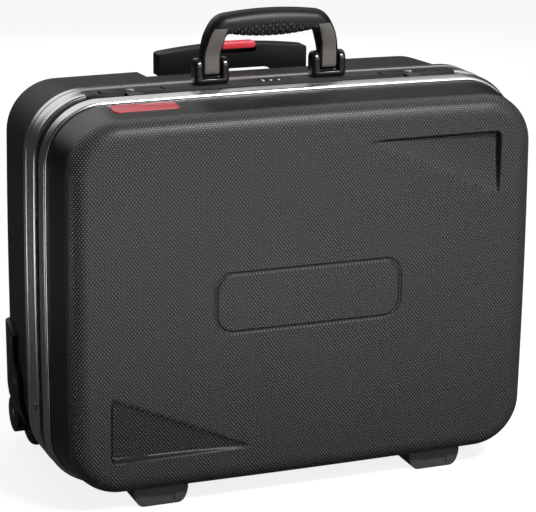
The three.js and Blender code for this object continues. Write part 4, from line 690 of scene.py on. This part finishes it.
# Handle brackets: two black glass-filled polyamide blocks with a slot between rounded ears, screwed
# through the lock strip. They come from a polished mould, so their rounded edges catch the light.
polished_black = moulded(
    "black_polyamide_polished", ("#0e0e0f", "#141415"), (0.16, 0.26), 0.8, specular=0.5, edge_highlight="#1a1a1b")
HANDLE_X, PIVOT_Y, PIVOT_Z, LEG_OFFSET, PIN_RADIUS = -6.0, -29.5, 417.5, 62.6, 2.5
SIDES = (("left", -1), ("right", 1))
body_of = {node: body for body, nodes in frame["record"]["behaviour"]["bodies"].items() for node in nodes}
for side, sign in SIDES:
    middle = HANDLE_X + sign * LEG_OFFSET
    turn = np.linspace(0, np.pi, 25)
    ear = np.stack([PIVOT_Y + 8.5 * np.cos(turn), PIVOT_Z + 4.5 + 8.5 * np.sin(turn)], 1)
    ear = np.concatenate([[[PIVOT_Y + 8.5, 404.3]], ear, [[PIVOT_Y - 8.5, 404.3]]])
    bracket = edges_rounded(drawn_out(f"bracket_{side}", ear, middle - 18, middle + 18, "x"), 3.2, 5)
    slot = [(middle - 10.5, 409.8), (middle + 10.5, 409.8), (middle + 10.5, 440), (middle - 10.5, 440)]
    cut(bracket, drawn_out("slot", slot, PIVOT_Y - 14, PIVOT_Y + 14))
    fit(edges_rounded(bracket, 1.3, 3), polished_black, "root", "satin_plastic", f"handle_bracket_{side}")
    pin = f"handle_pin_{side}"
    fit(finished_copy(f"{pin}_turned", pin, 0.4), nickel, "root", "steel", pin)


# Carry handle: one satin black polypropylene moulding that swings on two pins. The underside of the
# grip has a sunk lens with staggered rows of pimples; each leg has a rough grey plate let into its front.
def drawn_curve(pulls, t):
    """Curve drawn towards its middle points: neighbouring points are blended by t until one is left."""
    rows = [np.array(pull, float)[None] for pull in pulls]
    while len(rows) > 1:
        rows = [(1 - t)[:, None] * a + t[:, None] * b for a, b in zip(rows, rows[1:])]
    return rows[0]


def handle_sections():
    """Sections of the handle from the left leg's end over the grip to the right leg's end: the outer and the
    inner outline of its front view, sampled in step, give each section's centre and half height."""
    leg_z = np.concatenate([-6.5 * np.cos(np.linspace(0, np.pi / 2, 14)), np.linspace(0, 13.5, 12)[1:]])
    t = np.linspace(0, 1, 45)[1:]
    half_t = np.linspace(0, 1, 23)[1:]
    outer = np.concatenate([
        np.stack([np.full_like(leg_z, -72.8), leg_z], 1),
        drawn_curve([(-72.8, 13.5), (-70.8, 32.7), (-64.2, 54.5), (-47.8, 55.9)], t)])
    inner = np.concatenate([
        np.stack([np.full_like(leg_z, -52.4), leg_z], 1),
        drawn_curve([(-52.4, 13.5), (-51, 25.4), (-48.3, 31.5)], half_t),
        drawn_curve([(-48.3, 31.5), (-46.9, 35.6), (-42.2, 35)], half_t)])
    across = np.linspace(0, 1, 240)[1:-1]
    crown = drawn_curve([(-47.8, 55.9), (0, 62.1), (47.8, 55.9)], across)
    under = drawn_curve([(-42.2, 35), (0, 28), (42.2, 35)], across)
    mirrored = lambda run: (run * [-1, 1])[::-1]
    outer = np.concatenate([outer, crown, mirrored(outer)])
    inner = np.concatenate([inner, under, mirrored(inner)])
    return (outer + inner) / 2, (outer - inner) / 2


def handle_depth(height):
    """Half depth at a height above the pins: slim legs with a round end, swelling into the deep grip."""
    leg = np.sqrt(np.clip(1 - (np.minimum(height, 0) / 6.5) ** 2, 0, 1)) * 6.5
    swell = np.clip((height - 13.5) / 27.5, 0, 1)
    return leg + 6.0 * swell ** 1.6 * (2.6 - 1.6 * swell)


centre, half = handle_sections()
depth_half = handle_depth(centre[:, 1])[:, None]
boxy = 6.0 - 3.4 * np.clip((centre[:, 1:] - 14) / 22, 0, 1)
turn = np.linspace(0, 2 * np.pi, 181)[None, :-1]
cos, sin = np.cos(turn), np.sin(turn)
up = np.sign(cos) * np.abs(cos) ** (2 / boxy)
over = np.sign(sin) * np.abs(sin) ** (2 / boxy)
taper = 1 - 0.13 * np.clip((centre[:, 1:] - 30) / 12, 0, 1) * np.maximum(cos, 0)
out_up = np.sign(up) * np.abs(up) ** (boxy - 1) / np.linalg.norm(half, axis=1)[:, None]
out_over = np.sign(over) * np.abs(over) ** (boxy - 1) / np.maximum(depth_half, 0.5)
length = np.hypot(out_up, out_over)
along_x = centre[:, :1] + 0 * turn
around = 13.2 * np.abs(turn - np.pi) + 0 * along_x
row = np.floor(around / 3.3)
aside = (along_x - row % 2 * 3.75 + 3.75) % 7.5 - 3.75
pimple = np.clip(1 - (aside ** 2 + (around - (row + 0.5) * 3.3) ** 2) / 1.8 ** 2, 0, 1)
edge = 22 - 5 * (along_x / 42) ** 2 - 2.4 * np.clip(np.abs(along_x) - 40, 0, 8)
lens = np.clip((edge - around) / 0.8, 0, 1)
push = lens * (0.9 * np.sqrt(pimple) - 0.5)
unit = half / np.linalg.norm(half, axis=1)[:, None]
shift = push * out_up / length
points = np.stack([
    HANDLE_X + centre[:, :1] + half[:, :1] * up + unit[:, :1] * shift,
    PIVOT_Y + depth_half * over * taper + push * out_over / length,
    PIVOT_Z + centre[:, 1:] + half[:, 1:] * up + unit[:, 1:] * shift], -1)
count = len(centre)
handle = make_piece("carry_handle_moulding", points.reshape(-1, 3), grid_faces(count, turn.size), sharp=48)
# Each leg is bored for its pin; after the cut the pimples' edges are marked sharp once more.
for side, sign in SIDES:
    cut(handle, rod(PIN_RADIUS + HOLE_GAP, HANDLE_X + sign * 50, HANDLE_X + sign * 75, PIVOT_Y, PIVOT_Z))
handle.data.set_sharp_from_angle(angle=math.radians(48))
fit(handle, satin_black, "carry_handle", "satin_plastic", "carry_handle")

# The plates taper upward between margins from the leg's edges and follow the surface they lie on: each
# point's depth is the mean of the six nearest front points of the handle, weighted by closeness.
rough_grey = moulded(
    "grey_inlay_spark_eroded", ("#464441", "#5c5956"), (0.55, 0.75), 1.1, specular=0.3, edge_highlight="#807d79")
front_points = points.reshape(-1, 3)
front_points = front_points[front_points[:, 1] < PIVOT_Y - 2]
for side, sign in SIDES:
    height = np.linspace(-3.6, 42, 58)
    outer_x = np.interp(height, [-3.6, 13.5, 20, 30, 36, 42], [70.0, 70.0, 69.4, 67.2, 64.9, 61.4])
    inner_x = np.interp(height, [-3.6, 13.5, 20, 31.5, 36, 42], [55.2, 55.2, 54.6, 51.4, 50.0, 48.4])
    across = np.linspace(0, 1, 17)[None]
    x = HANDLE_X + sign * (inner_x[:, None] + (outer_x - inner_x)[:, None] * across)
    z = PIVOT_Z + height[:, None] + across * 0
    apart = (x.reshape(-1, 1) - front_points[:, 0]) ** 2 + (z.reshape(-1, 1) - front_points[:, 2]) ** 2
    nearest = np.argpartition(apart, 6, axis=1)[:, :6]
    weight = 1 / (np.take_along_axis(apart, nearest, 1) + 0.05)
    front = (front_points[nearest, 1] * weight).sum(1) / weight.sum(1) - 0.25
    face = np.stack([x, front.reshape(x.shape), z], -1)
    plate = np.concatenate([face, face[:, ::-1] + [0, 1.6, 0]], 1)
    count, columns = plate.shape[:2]
    faces = grid_faces(count, columns).tolist() + [
        list(range(columns)), list(range((count - 1) * columns, count * columns))]
    inlay = make_piece(f"leg_plate_{side}", plate.reshape(-1, 3), faces)
    fit(edges_rounded(inlay, 0.3, 2, 50), rough_grey, "carry_handle", "inlay_grey", f"handle_inlay_{side}")

# Pull handle: a crowned bar of black ABS on two telescopic aluminium tubes, with a finger arch below
# and a red release button in its front. Its edges are rounded by 2 mm.
bar = np.concatenate([
    [[-83, 389.3], [-83, 410.2]], bend((-83, 410.2), (-83, 413.2), (-79, 413.6)),
    bend((-79, 413.6), (0, 424.4), (79, 413.6), 32), bend((79, 413.6), (83, 413.2), (83, 410.2)),
    [[83, 389.3], [43, 389.3]], bend((43, 389.3), (41, 393), (31, 393)),
    [[-31, 393]], bend((-31, 393), (-41, 393), (-43, 389.3))])
pull_bar = edges_rounded(drawn_out("pull_bar", bar, 87.0, 105.0), 2.2, 4, 50)


def rounded_block(half_length, low, high, radius):
    """Rounded rectangle in the front view, about the middle, from its low to its high edge."""
    turn = np.linspace(0, np.pi / 2, 7)
    arc = np.stack([half_length - radius + radius * np.cos(turn), high - radius + radius * np.sin(turn)], 1)
    right = np.concatenate([(arc * [1, -1] + [0, low + high])[::-1], arc])
    return np.concatenate([right, (right * [-1, 1])[::-1]])


cut(pull_bar, drawn_out("pocket", rounded_block(25.3, 409.5, 440, 3.7), 70, 99.3))
fit(pull_bar, satin_black, "pull_handle", "satin_plastic", "pull_grip")
red_abs = moulded("red_abs_moulded", ("#b32a37", "#bd3340"), (0.32, 0.44), 0.6, specular=0.45, edge_highlight="#d4525d")
button = edges_rounded(drawn_out("button", rounded_block(25, 413.8, 421, 3.4), 86.7, 99), 1.3, 3, 50)
fit(button, red_abs, "release_button", "signal_red", "release_button")
tube_metal = drawn_metal("anodised_tube_drawn", ("#85878a", "#929497"), (0.26, 0.38), (2500, 2500, 8))
for side, sign in SIDES:
    for stage in ("outer", "middle", "inner"):
        node = f"{stage}_tube_{side}"
        stage_tube = finished_copy(f"{stage}_stage_{side}", node, 0.3)
        fit(stage_tube, tube_metal, body_of[node], "tube_aluminium", node)
bezel = finished_copy("tube_bezel", "telescope_bezel", 0.6, 3)
fit(bezel, satin_black, "root", "satin_plastic", "telescope_bezel")
cover = finished_copy("tube_cover", "telescope_cover", 0.6)
fit(cover, satin_black, "root", "satin_plastic", "telescope_cover")


# Wheels: a solid rubber tyre pressed on a ribbed grey polyamide hub, turning on a steel axle. Each
# sits in a black polypropylene housing that wraps the rear corner and is held by two side screws.
def turned(name, profile, side, steps=96):
    """Closed profile of [radius, place across] turned about the wheel's axle."""
    angle = np.linspace(0, 2 * np.pi, steps + 1)[None, :-1]
    radius, across = np.concatenate([profile, profile[:1]]).T[:, :, None]
    points = np.stack([
        side * (WHEEL_X + across) + 0 * angle, WHEEL_Y + radius * np.cos(angle),
        WHEEL_Z + radius * np.sin(angle)], -1)
    return make_piece(name, points.reshape(-1, 3), grid_faces(len(profile) + 1, steps), sharp=38)


tyre_rubber = moulded(
    "tyre_rubber_moulded", ("#161617", "#202021"), (0.7, 0.85), 0.9, specular=0.3, edge_highlight="#2b2b2c")
hub_grey = moulded("hub_polyamide_grey", ("#3c3d3f", "#47484a"), (0.42, 0.55), 0.7, edge_highlight="#58595b")
for side, sign in SIDES:
    groove = lambda place: [(36, place - 1), (35.1, place - 0.7), (35.1, place + 0.7), (36, place + 1)]
    tread = ([(23.3, -14), (33.2, -14), (36, -10.5)] + groove(-5) + groove(5)
             + [(36, 10.5), (33.2, 14), (23.3, 14)])
    fit(turned(f"tyre_{side}", eased(tread, 1.6, 3), sign), tyre_rubber, f"wheel_{side}", "wheel_tyre",
        f"wheel_tyre_{side}")
    rim = [(4.2, -13), (9, -13), (9, -9), (20, -9), (20, -13), (23, -13), (23, 13), (20, 13), (20, 9), (9, 9),
           (9, 13), (4.2, 13)]
    hub = turned(f"hub_{side}", eased(rim, 0.7, 3), sign, 72)
    for place in range(6):
        angle = place * np.pi / 3
        radial, beside = np.array([np.cos(angle), np.sin(angle)]), np.array([-np.sin(angle), np.cos(angle)])
        rib = [radial * r + beside * w + [WHEEL_Y, WHEEL_Z]
               for r, w in ((8.4, -1.2), (20.6, -1.2), (20.6, 1.2), (8.4, 1.2))]
        cut(hub, drawn_out("rib", rib, sign * WHEEL_X - 12.4, sign * WHEEL_X + 12.4, "x"), "UNION")
    fit(hub, hub_grey, f"wheel_{side}", "wheel_hub", f"wheel_hub_{side}")
    axle = f"wheel_axle_{side}"
    fit(finished_copy(f"axle_{side}", axle, 0.6), nickel, "root", "steel", axle)
    fit(finished_copy(f"corner_housing_{side}", f"wheel_housing_{side}", 1.0, 3), satin_black, "root",
        "satin_plastic", f"wheel_housing_{side}")
    for number in (1, 2):
        node = f"housing_screw_{side}_{number}"
        screw = finished_copy(f"side_screw_{side}_{number}", node, 0.5)
        low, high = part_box(node)
        y, z = ((low + high) * 500)[1:]
        end = 1000 * (high if sign > 0 else low)[0]
        for long, short in ((2.4, 0.45), (0.45, 2.4)):
            cross = [(y - long, z - short), (y + long, z - short),
                     (y + long, z + short), (y - long, z + short)]
            cut(screw, drawn_out("cross", cross, end - sign * 1.3, end + sign * 1, "x"))
        fit(screw, nickel, "root", "steel", node)

# Feet: two black polypropylene blocks under the lid, tapered and rounded, with a sunk front panel.
matt_black = moulded("black_polypropylene_matt", ("#343435", "#3c3c3d"), (0.5, 0.62), 0.9, edge_highlight="#3a3a3b")
for side, sign in SIDES:
    middle = sign * 149.5
    left = np.concatenate([
        [[-17.5, 0]], bend((-17.5, 0), (-25, 0.5), (-27.6, 11), 12),
        bend((-27.6, 11), (-28.5, 15), (-28.5, 17), 6)])
    outline = np.concatenate([left, (left * [-1, 1])[::-1]])
    rows = []
    for place, top in ((-114.5, 20.2), (-76.5, 15.2)):
        height = np.where(outline[:, 1] > 16.9, top, np.minimum(outline[:, 1], top - 0.5))
        rows.append(np.stack([middle + outline[:, 0], np.full(len(outline), place), height], 1))
    count = len(outline)
    faces = grid_faces(2, count).tolist() + [list(range(count)), list(range(count, 2 * count))]
    foot = edges_rounded(make_piece(f"foot_block_{side}", np.concatenate(rows), faces), 2.6, 4, 50)
    panel = [(middle - 14.5, 3.5), (middle + 14.5, 3.5), (middle + 14.5, 11), (middle - 14.5, 11)]
    cut(foot, drawn_out("panel", panel, -118, -113.3))
    fit(foot, matt_black, "lid", "satin_plastic", f"foot_{side}")

# Badge: a plain red lacquered plate let into the lid's top, left blank.
badge_red = moulded(
    "red_lacquered_plate", ("#82202a", "#8a242e"), (0.3, 0.4), 0.5, specular=0.5, edge_highlight="#cf4a56")
fit(finished_copy("badge_plate", "badge", 0.35), badge_red, "lid", "signal_red", "badge")

# Hinges, stays and rivets: pressed and turned steel, nickel plated, with narrow broken edges.
for node in [
    "dial_shaft", *[
        f"{part}_{side}" for side, sign in SIDES
        for part in (
            "base_hinge_leaf", "lid_hinge_leaf", "hinge_pin",
            "base_stay_link", "lid_stay_link", "stay_rivet")]
]:
    fit(finished_copy(f"{node}_finished", node, 0.25), nickel, body_of[node], "steel", node)
